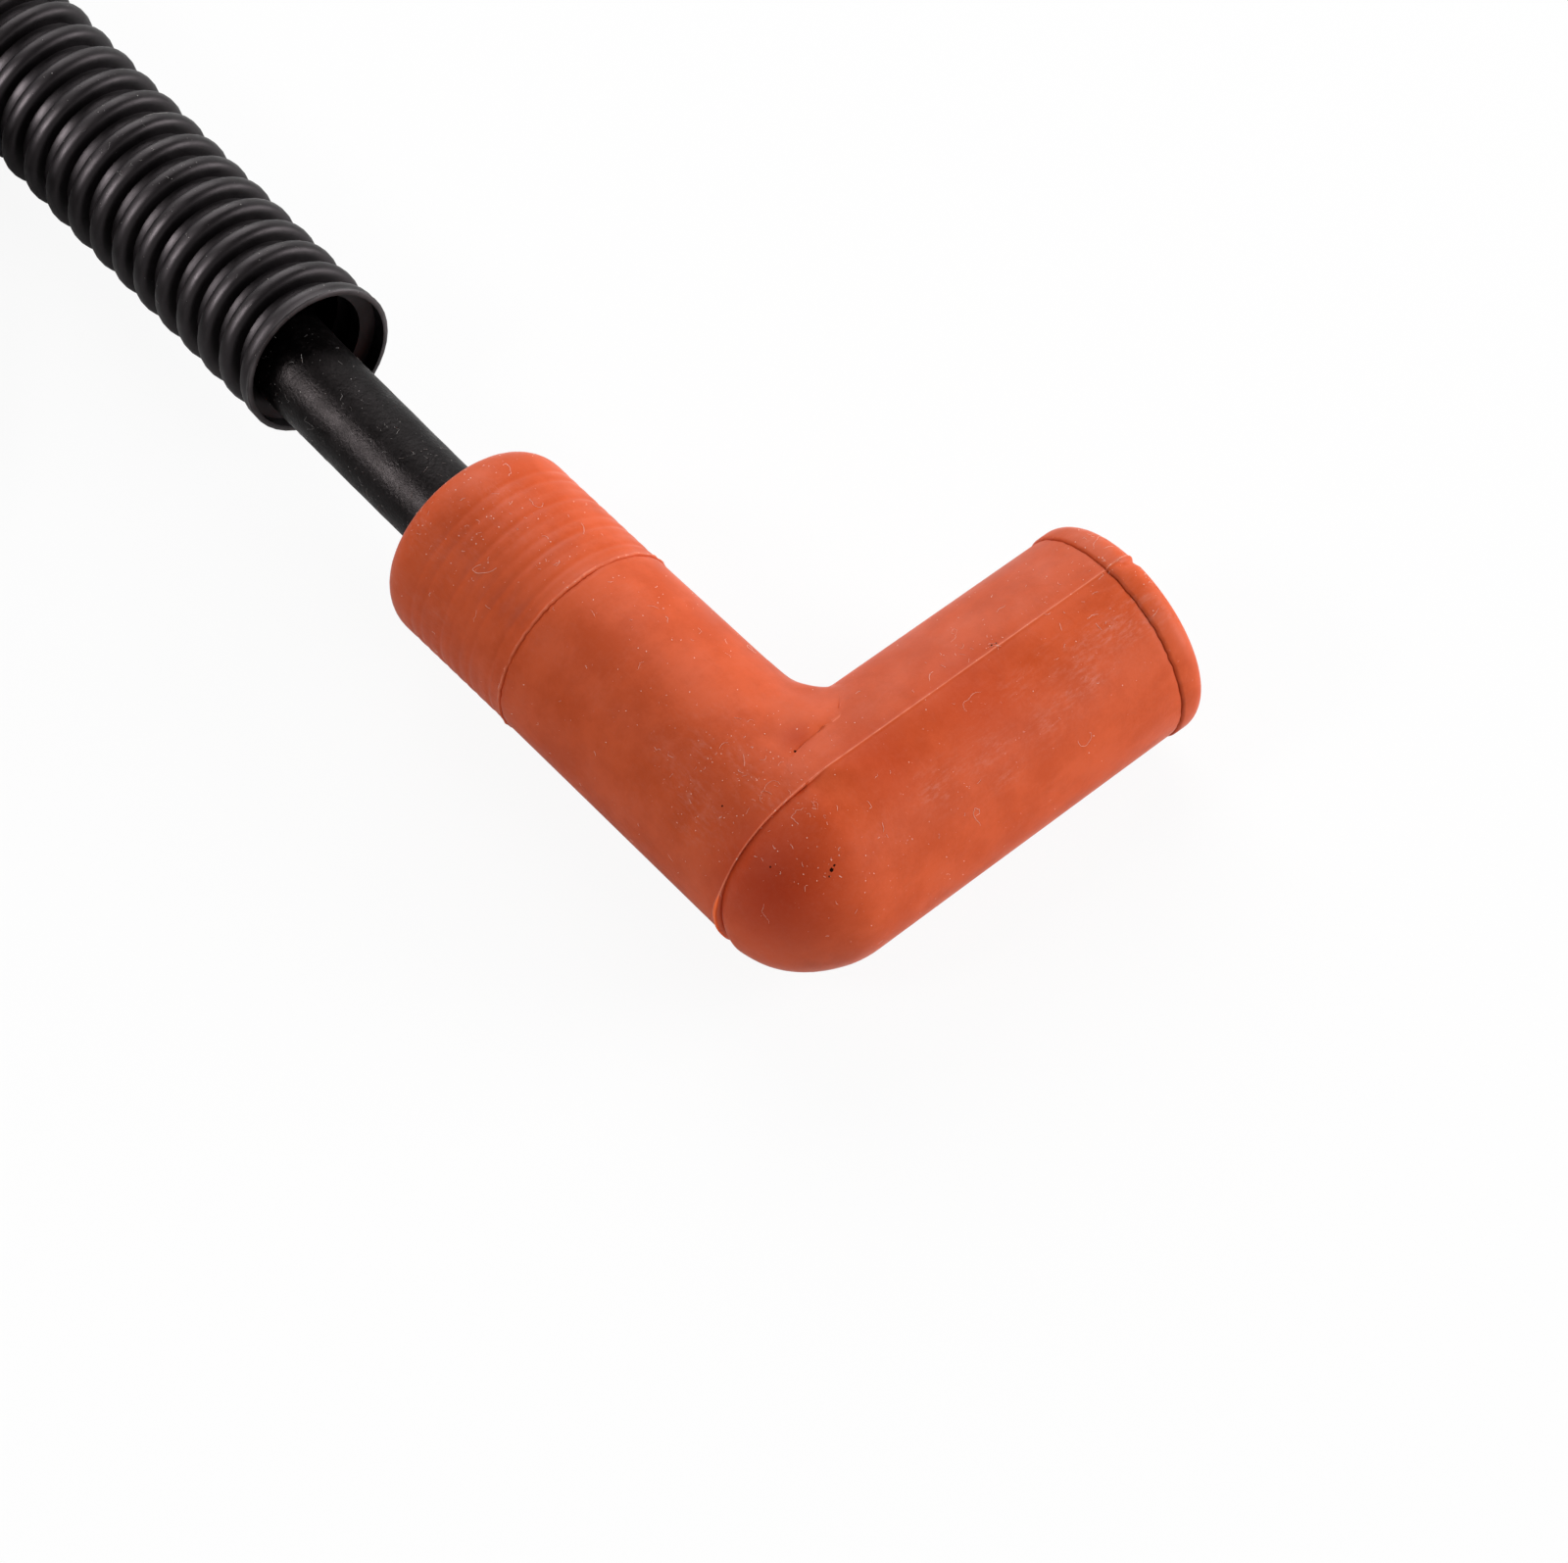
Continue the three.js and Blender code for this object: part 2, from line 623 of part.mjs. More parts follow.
const cords = new THREE.Group();
const loopLoom = stretch(loomCurve, loomFrontLength + endGap, loomLength);
const loopCable = stretch(cableCurve, cableFrontLength + endGap, tailStart);
const tailCable = stretch(cableCurve, tailStart + endGap, cableLength);
cords.add(
  piece("cable_front", cableFront(), blackSilicone),
  piece("loom_front", loomFront(), loomPlastic),
  piece("loom_loop", cord(loopLoom, loomRadius, loopSteps, loomBoreRadius), loomPlastic),
  piece("cable_loop", cord(loopCable, cableRadius, loopSteps), blackSilicone),
  piece("cable_tail", cord(tailCable, cableRadius, tailSteps), blackSilicone),
  piece("coil_tie", coilTie(), tiePlastic),
);

const sparkPlugWire = new THREE.Group();
sparkPlugWire.position.set(-boxCentre.x, -boxCentre.y, 0);
sparkPlugWire.add(elbowEnd, plugEnd, cords);

export default sparkPlugWire;
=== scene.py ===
# Spark plug wire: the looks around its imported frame. Lengths are in metres, in the frame's own axes.
import math
import random

import bpy
import numpy as np
from mathutils import Matrix, Vector, noise
from mathutils.bvhtree import BVHTree


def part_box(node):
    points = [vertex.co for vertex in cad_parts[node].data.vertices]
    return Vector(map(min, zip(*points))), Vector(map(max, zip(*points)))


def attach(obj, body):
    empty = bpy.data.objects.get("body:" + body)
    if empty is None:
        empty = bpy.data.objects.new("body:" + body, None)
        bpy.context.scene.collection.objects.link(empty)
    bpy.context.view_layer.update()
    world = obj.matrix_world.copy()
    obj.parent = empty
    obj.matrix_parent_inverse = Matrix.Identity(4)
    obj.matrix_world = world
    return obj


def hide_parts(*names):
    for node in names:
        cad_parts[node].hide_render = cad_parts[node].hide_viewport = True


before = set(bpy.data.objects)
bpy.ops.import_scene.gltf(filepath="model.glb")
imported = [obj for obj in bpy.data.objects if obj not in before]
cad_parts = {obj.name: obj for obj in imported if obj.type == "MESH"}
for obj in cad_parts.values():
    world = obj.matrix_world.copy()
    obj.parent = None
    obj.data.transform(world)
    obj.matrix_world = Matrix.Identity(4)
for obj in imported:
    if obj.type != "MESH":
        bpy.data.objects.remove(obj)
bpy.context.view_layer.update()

MM = 0.001
PHOTO_WIDTH = 1600

# The frame's origin lies under the middle of the elbow's box. The points below start from the crossing
# of the elbow's two axes: x along the socket arm, y along the cable arm, z over the floor.
ORIGIN = np.array([-12.9, -17.2, 0.0]) * MM
AXIS_HEIGHT = 10 * MM
PLUG_AXIS_HEIGHT = 9.5 * MM
UP = np.array([0.0, 0.0, 1.0])

# Cable and loom.
CABLE_RADIUS = 4 * MM
CORE_RADIUS = 1.2 * MM
CORE_LENGTH = 5.5 * MM
LOOM_RADIUS = 7.1 * MM
LOOM_WALL = 0.36 * MM
LOOM_VALLEY = 1.2 * MM # deeper than the solid's plain valleys
LOOM_PITCH = 3.3 * MM
LOOM_HEIGHT = 7.2 * MM
CABLE_DROP = 1.3 * MM

# Wound turn and tie.
TURN_RADIUS = 80 * MM
TURN_SPACING = 15.5 * MM
TURN_CENTRE = np.array([-74.5, 140.0]) * MM
TURN_POINTS = 48
SPAN_STEPS = 24
LINE_STEP = 0.25 * MM
TIE_RISE = 1.6 * MM
TIE_REACH = 16 * MM
TIE_DISTANCE = 8 * MM
TAIL_BEND = 36 * MM
TAIL_ARC_POINTS = 6
TAIL_STRAIGHT = 28 * MM
TAIL_STRAIGHT_POINTS = 4
PLUG_START = np.array([-51.0, 176.0]) * MM

# Elbow boot.
CABLE_ARM = 9.5 * MM
CABLE_ARM_TAPER = 0.25 * MM
CABLE_ARM_END = 44.4 * MM
SOCKET_ARM = 10 * MM
SOCKET_ARM_TAPER = 0.3 * MM
SOCKET_ARM_END = 35.8 * MM
RING_PLACE = 27.9 * MM
GROOVES = 9
GROOVE_PITCH = 1.25 * MM
GROOVE_DEPTH = 0.14 * MM
END_ROUNDING = 3.4 * MM
RIM_LENGTH = 2.9 * MM
RIM_PROUD = 0.2 * MM
RIM_ROUNDING = 1.7 * MM
BORE = 4.25 * MM
CHAMBER = 5.15 * MM
CHAMBER_END = 21.4 * MM
CHAMBER_MOUTH = 12.9 * MM
SOCKET_BORE = 6.5 * MM
MOUTH_CHAMFER = 0.8 * MM
RIB_HEIGHT = 0.4 * MM
RIB_SPACING = 4 * MM
RIB_WIDTH = 1.4 * MM

# Straight boot.
PLUG_RADIUS = 9.25 * MM
PLUG_LENGTH = 70 * MM
PLUG_RING = 15.6 * MM
PLUG_CHAMBER_START = 21.6 * MM
PLUG_CHAMBER_MOUTH = 48.9 * MM


# Camera.

CAMERA_TARGET = Vector((-9.592 * MM, -10.701 * MM, 9.964 * MM))
CAMERA_DISTANCE = 0.8834
CAMERA_ELEVATION = math.radians(54.975)
CAMERA_AZIMUTH = math.radians(-40.994)
FOCAL_PIXELS = 10935
SENSOR_WIDTH = 36


def make_camera():
    level = math.cos(CAMERA_ELEVATION)
    back = Vector((
        math.sin(CAMERA_AZIMUTH) * level,
        -math.cos(CAMERA_AZIMUTH) * level,
        math.sin(CAMERA_ELEVATION),
    ))
    right = Vector((math.cos(CAMERA_AZIMUTH), math.sin(CAMERA_AZIMUTH), 0))
    up = back.cross(right)
    data = bpy.data.cameras.new("camera")
    data.sensor_fit = "HORIZONTAL"
    data.sensor_width = SENSOR_WIDTH
    data.lens = SENSOR_WIDTH * FOCAL_PIXELS / PHOTO_WIDTH
    data.clip_end = 20
    camera = bpy.data.objects.new("camera", data)
    turn = Matrix((right, up, back)).transposed().to_4x4()
    camera.matrix_world = Matrix.Translation(CAMERA_TARGET + back * CAMERA_DISTANCE) @ turn
    bpy.context.scene.collection.objects.link(camera)
    bpy.context.scene.camera = camera


make_camera()


# Routes, with the same points as the part's solids.

LOOM_LEAD = [
    (1.45, 64.4, 11.35), (1.93, 69.5, 10.5), (2.41, 75, 9.72), (2.8, 80, 9.1), (3.15, 85, 8.55),
    (3.47, 90, 8.1), (3.76, 95, 7.75), (4.0, 100, 7.5), (4.21, 105, 7.37), (4.42, 110, 7.4),
    (4.6, 115, 7.65), (4.85, 120, 8.05), (5.1, 126, 8.6), (5.3, 132, 8.8),
]
CABLE_LEAD = [
    (0, 15, 10), (0, 22, 10), (0, 30, 10), (0, 38, 10), (0, 44.4, 10), (0.05, 50, 10.07),
    (0.15, 57, 10.2), (0.3, 64.4, 10.3), (0.9, 69.5, 9.5), (1.6, 75, 8.64), (2.2, 80, 7.92),
    (2.75, 85, 7.3), (3.2, 90, 6.82), (3.6, 95, 6.46), (3.95, 100, 6.2), (4.21, 105, 6.07),
    (4.42, 110, 6.1), (4.6, 115, 6.35), (4.85, 120, 6.75), (5.1, 126, 7.3), (5.3, 132, 7.5),
]


def smoothstep(low, high, value):
    share = np.clip((value - low) / (high - low), 0, 1)
    return share * share * (3 - 2 * share)


def fade(low, high, value):
    return 1 - smoothstep(low, high, value)


def bell(value, middle, width):
    return np.exp(-(((value - middle) / width) ** 2))


def tie_lift(distance):
    return TIE_RISE * math.exp(-((distance / TIE_REACH) ** 2))


def turn_points(height):
    points = []
    for i in range(TURN_POINTS + 1):
        share = i / TURN_POINTS
        angle = share * 2 * math.pi
        radius = TURN_RADIUS - TURN_SPACING * share
        lift = tie_lift(TIE_DISTANCE + radius * angle)
        lift += tie_lift(radius * (2 * math.pi - angle) - TIE_DISTANCE)
        x = TURN_CENTRE[0] + radius * math.cos(angle)
        y = TURN_CENTRE[1] + radius * math.sin(angle)
        points.append((x, y, height + lift))
    return points


def tail_points():
    centre_x = TURN_CENTRE[0] + TURN_RADIUS - TURN_SPACING - TAIL_BEND
    start = LOOM_HEIGHT - CABLE_DROP + tie_lift(TIE_DISTANCE)
    points = []
    for i in range(1, TAIL_ARC_POINTS + 1):
        share = i / TAIL_ARC_POINTS
        angle = share * math.pi / 2
        height = start + (PLUG_AXIS_HEIGHT - start) * float(smoothstep(0, 1, share))
        x = centre_x + TAIL_BEND * math.cos(angle)
        y = TURN_CENTRE[1] + TAIL_BEND * math.sin(angle)
        points.append((x, y, height))
    for i in range(TAIL_STRAIGHT_POINTS + 1):
        x = PLUG_START[0] - TAIL_STRAIGHT * i / TAIL_STRAIGHT_POINTS
        points.append((x, PLUG_START[1], PLUG_AXIS_HEIGHT))
    return points


def lead(points):
    return [tuple(MM * value for value in point) for point in points]


# A smooth curve through points, as close points at equal steps along it.
def smooth(points):
    points = np.array(points, float) + ORIGIN
    before = 2 * points[0] - points[1]
    after = 2 * points[-1] - points[-2]
    knots = np.vstack([before, points, after])
    spans = np.linalg.norm(np.diff(knots, axis=0), axis=1) ** 0.5
    shares = np.linspace(0, 1, SPAN_STEPS, endpoint=False)[:, None]
    line = []
    for i in range(1, len(knots) - 2):
        p0, p1, p2, p3 = knots[i - 1:i + 3]
        d0, d1, d2 = spans[i - 1:i + 2]
        slope1 = ((p1 - p0) / d0 - (p2 - p0) / (d0 + d1) + (p2 - p1) / d1) * d1
        slope2 = ((p2 - p1) / d1 - (p3 - p1) / (d1 + d2) + (p3 - p2) / d2) * d1
        c2 = -3 * p1 + 3 * p2 - 2 * slope1 - slope2
        c3 = 2 * p1 - 2 * p2 + slope1 + slope2
        line.append(p1 + shares * (slope1 + shares * (c2 + shares * c3)))
    line = np.vstack([*line, points[-1:]])
    along = np.concatenate([[0], np.cumsum(np.linalg.norm(np.diff(line, axis=0), axis=1))])
    places = np.linspace(0, along[-1], int(along[-1] / LINE_STEP) + 1)
    return np.column_stack([np.interp(places, along, line[:, i]) for i in range(3)])


def length_of(line):
    return float(np.linalg.norm(np.diff(line, axis=0), axis=1).sum())


# Meshes.

# Quads between the rows of a grid that is closed across its columns, and along its rows where asked.
def grid_faces(rows, columns, closed=False, start=0):
    index = np.arange(rows * columns).reshape(rows, columns) + start
    here = index if closed else index[:-1]
    there = np.roll(index, -1, axis=0) if closed else index[1:]
    quads = np.stack([here, np.roll(here, -1, 1), np.roll(there, -1, 1), there], axis=-1)
    return quads.reshape(-1, 4).tolist()


def signed_volume(points, faces):
    total = 0.0
    for size in (3, 4):
        group = np.array([face for face in faces if len(face) == size])
        for i in range(1, size - 1):
            if len(group):
                a, b, c = points[group[:, 0]], points[group[:, i]], points[group[:, i + 1]]
                total += float(np.einsum("ij,ij->i", a, np.cross(b, c)).sum())
    return total


def mesh_object(name, points, faces, material, sharp=math.radians(50)):
    points = np.asarray(points, float)
    if signed_volume(points - points.mean(0), faces) < 0:
        faces = [face[::-1] for face in faces]
    mesh = bpy.data.meshes.new(name)
    mesh.from_pydata(points.tolist(), [], faces)
    mesh.shade_smooth()
    mesh.set_sharp_from_angle(angle=sharp)
    mesh.materials.append(material)
    obj = bpy.data.objects.new(name, mesh)
    bpy.context.scene.collection.objects.link(obj)
    return obj


# Gives each point of a mesh its share of the colour of edges: on the elbow boot a painted highlight and
# painted light through flash, on the loom its burr.
def mark_edges(obj, values):
    attribute = obj.data.attributes.new("edge", "FLOAT", "POINT")
    attribute.data.foreach_set("value", np.asarray(values, np.float32))


# Places, and the two directions across the line, at distances along a line of close points.
def frames(line, distances):
    along = np.concatenate([[0], np.cumsum(np.linalg.norm(np.diff(line, axis=0), axis=1))])
    places = np.column_stack([np.interp(distances, along, line[:, i]) for i in range(3)])
    slopes = np.gradient(line, along, axis=0)
    tangents = np.column_stack([np.interp(distances, along, slopes[:, i]) for i in range(3)])
    tangents /= np.linalg.norm(tangents, axis=1)[:, None]
    sides = np.cross(tangents, UP)
    sides /= np.linalg.norm(sides, axis=1)[:, None]
    return places, sides, np.cross(sides, tangents)


# Rings of points round a line. Radii are one to a distance, or one to a distance and angle.
def rings(line, distances, radii, angles):
    places, sides, tops = frames(line, np.asarray(distances))
    radii = np.asarray(radii, float)
    if radii.ndim == 1:
        radii = radii[:, None]
    across = np.cos(angles)[None, :, None] * sides[:, None, :]
    across = across + np.sin(angles)[None, :, None] * tops[:, None, :]
    return (places[:, None, :] + radii[:, :, None] * across).reshape(-1, 3)


def round_angles(count):
    return np.linspace(0, 2 * math.pi, count, endpoint=False)


# Small uneven swellings, the same each run.
def unevenness(value, seed, scale):
    return np.array([noise.noise(Vector((v * scale, seed, 0.0))) for v in np.ravel(value)])


# A solid rod along a line, its ends closed by fans.
def rod_mesh(name, line, distances, radii, count, material):
    points = rings(line, distances, radii, round_angles(count))
    ends = frames(line, np.array([distances[0], distances[-1]]))[0]
    rows = len(distances)
    faces = grid_faces(rows, count)
    first = len(points)
    last = first + 1
    for i in range(count):
        after = (i + 1) % count
        faces.append([first, after, i])
        faces.append([last, (rows - 1) * count + i, (rows - 1) * count + after])
    return mesh_object(name, np.vstack([points, ends]), faces, material)


# A tube whose outer and inner walls are one closed ring of rows.
def tube_mesh(name, line, distances, radii, count, material):
    points = rings(line, distances, radii, round_angles(count))
    return mesh_object(name, points, grid_faces(len(distances), count, closed=True), material)


# Materials.

# The nodes of one material or world, with short ways to make and join them.
class Look:
    def __init__(self, owner):
        owner.use_nodes = True
        self.owner = owner
        self.nodes = owner.node_tree.nodes
        self.links = owner.node_tree.links
        self.shader = self.nodes.get("Principled BSDF")

    # Sets a socket to a number or a colour, or links a node's output to it.
    def put(self, socket, value):
        if isinstance(value, (int, float)):
            socket.default_value = value
        elif isinstance(value, tuple):
            socket.default_value = (*value, 1)
        else:
            self.links.new(value, socket)

    def set(self, name, value):
        self.put(self.shader.inputs[name], value)

    # Noise in the object's own axes. Its scale counts features to the metre.
    def noise(self, scale, detail=3.0, rough=0.5, stretch=(1, 1, 1)):
        source = self.nodes.new("ShaderNodeTexCoord")
        mapping = self.nodes.new("ShaderNodeMapping")
        mapping.inputs["Scale"].default_value = stretch
        self.links.new(source.outputs["Object"], mapping.inputs["Vector"])
        node = self.nodes.new("ShaderNodeTexNoise")
        self.links.new(mapping.outputs["Vector"], node.inputs["Vector"])
        for name, number in (("Scale", scale), ("Detail", detail), ("Roughness", rough)):
            node.inputs[name].default_value = number
        return node.outputs["Fac"]

    def ramp(self, value, low, high, start=0.0, end=1.0):
        node = self.nodes.new("ShaderNodeMapRange")
        node.interpolation_type = "SMOOTHSTEP"
        self.links.new(value, node.inputs["Value"])
        for name, number in (("From Min", low), ("From Max", high), ("To Min", start), ("To Max", end)):
            node.inputs[name].default_value = number
        return node.outputs["Result"]

    def math(self, operation, first, second):
        node = self.nodes.new("ShaderNodeMath")
        node.operation = operation
        self.put(node.inputs[0], first)
        self.put(node.inputs[1], second)
        return node.outputs["Value"]

    def mix(self, factor, first, second):
        node = self.nodes.new("ShaderNodeMix")
        node.data_type = "RGBA"
        self.put(node.inputs["Factor"], factor)
        self.put(node.inputs[6], first)
        self.put(node.inputs[7], second)
        return node.outputs[2]

    def edge(self):
        node = self.nodes.new("ShaderNodeAttribute")
        node.attribute_name = "edge"
        return node.outputs["Fac"]

    # One at a place, falling to zero at the given radius.
    def near(self, place, radius):
        source = self.nodes.new("ShaderNodeTexCoord")
        node = self.nodes.new("ShaderNodeVectorMath")
        node.operation = "DISTANCE"
        self.links.new(source.outputs["Object"], node.inputs[0])
        node.inputs[1].default_value = at(*place)
        return self.ramp(node.outputs["Value"], 0.0, radius * MM, 1.0, 0.0)

    def roughness(self, scale, detail, low, high):
        self.set("Roughness", self.ramp(self.noise(scale, detail), 0.3, 0.7, low, high))

    def bump(self, height, strength, distance):
        node = self.nodes.new("ShaderNodeBump")
        node.inputs["Strength"].default_value = strength
        node.inputs["Distance"].default_value = distance * MM
        self.links.new(height, node.inputs["Height"])
        self.set("Normal", node.outputs["Normal"])


def new_look(name):
    return Look(bpy.data.materials.new(name))


# A place given in mm from the crossing of the elbow's axes.
def at(x, y, z):
    return tuple(np.array([x, y, z]) * MM + ORIGIN)


# Pale bloom of old rubber: fine streaks along one direction, most of them near a few places. Some places
# paint a highlight on rounded edges with the same pale streaks.
def bloom_and_highlight_factor(look, places, stretch):
    amount = BLOOM_EVERYWHERE
    for place, radius, weight in places:
        amount = look.math("ADD", look.math("MULTIPLY", look.near(place, radius), weight), amount)
    streaks = look.ramp(look.noise(2600, 7, 0.78, stretch), 0.42, 0.74)
    patches = look.ramp(look.noise(420, 6, 0.62, stretch), 0.40, 0.66, 0.2, 1.0)
    return look.math("MULTIPLY", look.math("MULTIPLY", streaks, patches), amount)


# Soft orange silicone. The edge attribute carries painted light: up to a half, a painted highlight along
# the mould's ridges and the web's crease; up to one, painted light glowing through the thin flash.
def orange_silicone(name, cable_bloom_and_highlight, socket_bloom_and_highlight, shade_places):
    look = new_look(name)
    base = (0.612, 0.090, 0.023)
    deep = (0.520, 0.066, 0.011)
    # A deeper, darker orange: painted shade near the given places.
    painted_shade = (0.42, 0.029, 0.002)
    pale = (0.66, 0.27, 0.20)
    # ridge is a painted highlight, thin is painted light glowing through thin flash.
    ridge = (0.74, 0.185, 0.095)
    thin = (1.0, 0.165, 0.035)
    colour = look.mix(look.ramp(look.noise(150, 9, 0.68), 0.36, 0.62), deep, base)
    # Painted shade: the deeper orange near each given place.
    for place, radius, weight in shade_places:
        colour = look.mix(look.math("MULTIPLY", look.near(place, radius), weight), colour, painted_shade)
    for places, stretch in ((cable_bloom_and_highlight, ALONG_CABLE), (socket_bloom_and_highlight, ALONG_SOCKET)):
        colour = look.mix(bloom_and_highlight_factor(look, places, stretch), colour, pale)
    colour = look.mix(look.ramp(look.noise(2600, 2), 0.72, 0.80, 0.0, 0.3), colour, pale)
    edge = look.edge()
    # Painted highlight on ridges and the crease, then painted light through the thin flash.
    colour = look.mix(look.ramp(edge, 0.0, 0.5), colour, ridge)
    colour = look.mix(look.ramp(edge, 0.5, 1.0), colour, thin)
    look.set("Base Color", colour)
    look.roughness(260, 4, 0.48, 0.60)
    look.set("Specular IOR Level", 0.20)
    look.set("Sheen Weight", 0.30)
    look.set("Sheen Roughness", 0.22)
    look.bump(look.noise(3200, 3, 0.6), 0.4, 0.03)
    return look.owner


def black_silicone():
    look = new_look("black_silicone")
    dust = look.ramp(look.noise(1300, 7, 0.72), 0.50, 0.76)
    look.set("Base Color", look.mix(dust, (0.0014, 0.0011, 0.0011), (0.012, 0.0102, 0.0105)))
    look.roughness(500, 5, 0.31, 0.46)
    look.set("Specular IOR Level", 0.11)
    look.set("Specular Tint", (1.0, 0.86, 0.87))
    look.bump(look.noise(2600, 4, 0.65), 0.9, 0.07)
    return look.owner


# Black loom plastic. The edge attribute marks the burr at its cut end.
def loom_plastic():
    look = new_look("loom_plastic")
    worn = look.ramp(look.noise(300, 5, 0.6), 0.45, 0.75)
    colour = look.mix(worn, (0.0018, 0.0014, 0.0016), (0.0056, 0.0047, 0.0051))
    look.set("Base Color", look.mix(look.edge(), colour, (0.085, 0.078, 0.080)))
    look.roughness(380, 4, 0.38, 0.50)
    look.set("Specular IOR Level", 0.30)
    look.set("Specular Tint", (1.0, 0.87, 0.92))
    look.bump(look.noise(1500, 3, 0.55), 0.25, 0.03)
    return look.owner


def tie_plastic():
    look = new_look("tie_plastic")
    clouds = look.ramp(look.noise(600, 4), 0.4, 0.7)
    look.set("Base Color", look.mix(clouds, (0.010, 0.010, 0.011), (0.017, 0.017, 0.018)))
    look.roughness(900, 3, 0.34, 0.46)
    look.bump(look.noise(1800, 2), 0.2, 0.02)
    return look.owner


def metal(name, bright, dull, low_rough, high_rough):
    look = new_look(name)
    stain = look.ramp(look.noise(420, 5, 0.6), 0.35, 0.75)
    look.set("Base Color", look.mix(stain, bright, dull))
    look.roughness(1100, 4, low_rough, high_rough)
    look.set("Metallic", 1.0)
    look.bump(look.noise(2400, 3), 0.15, 0.02)
    return look.owner


def core_strands():
    look = new_look("core_strands")
    strands = look.ramp(look.noise(2200, 2), 0.35, 0.65)
    look.set("Base Color", look.mix(strands, (0.05, 0.048, 0.046), (0.11, 0.105, 0.10)))
    look.roughness(1400, 2, 0.5, 0.7)
    return look.owner


def lint(name, dark, light):
    look = new_look(name)
    look.set("Base Color", look.mix(look.ramp(look.noise(240, 3), 0.3, 0.7), dark, light))
    look.roughness(800, 2, 0.7, 0.9)
    look.set("Specular IOR Level", 0)
    return look.owner


# Noise is drawn out along an arm by a smaller scale in its direction.
ALONG_CABLE = (1, 0.35, 1)
ALONG_SOCKET = (0.35, 1, 1)
BLOOM_EVERYWHERE = 0.07

# Places and radii in mm, and weights.
CABLE_BLOOM_AND_HIGHLIGHT = [
    ((-5.0, 6.5, 17.9), 9.0, 0.42),
    ((-2.5, 1.5, 19.2), 4.0, 0.22),
    ((1.0, -6.0, 17.5), 5.0, 0.14),
    ((-3.0, 39.0, 18.0), 7.0, 0.30),
    # Painted highlight on the left of the cable arm's rounded end.
    ((-8.3, 42.6, 13.5), 3.6, 0.55),
    ((-6.0, 43.2, 17.0), 3.2, 0.40),
    ((-8.8, 38.0, 12.0), 5.0, 0.25),
]
SOCKET_BLOOM_AND_HIGHLIGHT = [
    ((9.0, -6.8, 17.0), 4.0, 0.46),
    ((14.5, -6.3, 17.2), 4.5, 0.56),
    ((20.0, -5.6, 18.0), 4.5, 0.56),
    ((25.5, -4.6, 18.6), 5.0, 0.62),
    ((31.0, -4.0, 18.8), 4.5, 0.60),
    # Painted highlight on the socket's rim, where light from the right falls.
    ((34.5, -4.0, 18.0), 4.0, 0.35),
    ((34.5, 3.0, 18.5), 5.0, 0.35),
]
# Painted shade: on the ball's and the socket arm's upward faces, and on the web beside its crease.
PAINTED_SHADE_PLACES = [
    ((-6.4, -3.9, 15.0), 9.4, 0.84),
    ((-3.0, -3.0, 18.2), 5.0, 0.2),
    ((2.6, 4.2, 19.4), 2.2, 0.5),
    ((6.0, -2.5, 19.7), 6.0, 0.35),
    ((16.0, -2.5, 19.7), 8.0, 0.35),
]
orange = orange_silicone("orange_silicone", CABLE_BLOOM_AND_HIGHLIGHT, SOCKET_BLOOM_AND_HIGHLIGHT, PAINTED_SHADE_PLACES)
orange_plain = orange_silicone("orange_silicone_far", [], [], [])
cable_black = black_silicone()
loom_black = loom_plastic()
tie_black = tie_plastic()
brass = metal("terminal_brass", (0.62, 0.44, 0.20), (0.42, 0.30, 0.15), 0.26, 0.42)
steel = metal("spring_steel", (0.50, 0.50, 0.51), (0.34, 0.34, 0.35), 0.24, 0.38)
core_grey = core_strands()
pale_lint = lint("pale_lint", (0.92, 0.56, 0.44), (0.98, 0.86, 0.78))
grey_lint = lint("grey_lint", (0.14, 0.13, 0.13), (0.55, 0.52, 0.50))
dark_grit = lint("dark_grit", (0.008, 0.003, 0.002), (0.02, 0.006, 0.004))


# Cords.

loom_line = smooth(lead(LOOM_LEAD) + turn_points(LOOM_HEIGHT))
cable_line = smooth(lead(CABLE_LEAD) + turn_points(LOOM_HEIGHT - CABLE_DROP) + tail_points())
LOOM_FINE_RINGS = 24
LOOM_SIDES = 40
LOOM_SWELL = 0.03 * MM
CABLE_ROW = 1.3 * MM
CABLE_SIDES = 40
CORE_SIDES = 24

# One ring of the loom: shares of its pitch, and how far down towards the valley the wall is there.
FINE_RING = (
    (0.0, 0.80), (0.012, 0.56), (0.04, 0.34), (0.08, 0.18), (0.14, 0.065), (0.21, 0.010), (0.28, 0.0),
    (0.35, 0.010), (0.42, 0.065), (0.48, 0.18), (0.52, 0.34), (0.548, 0.56), (0.56, 0.80),
    (0.575, 1.10), (0.64, 1.16), (0.92, 1.16), (0.985, 1.10),
)
PLAIN_RING = (
    (0.0, 0.60), (0.07, 0.16), (0.2, 0.0), (0.38, 0.0), (0.51, 0.16), (0.58, 0.60), (0.64, 1.0),
    (0.94, 1.0),
)
INNER_RING = ((0.10, 0.0), (0.46, 0.0), (0.58, 1.08), (0.98, 1.08))


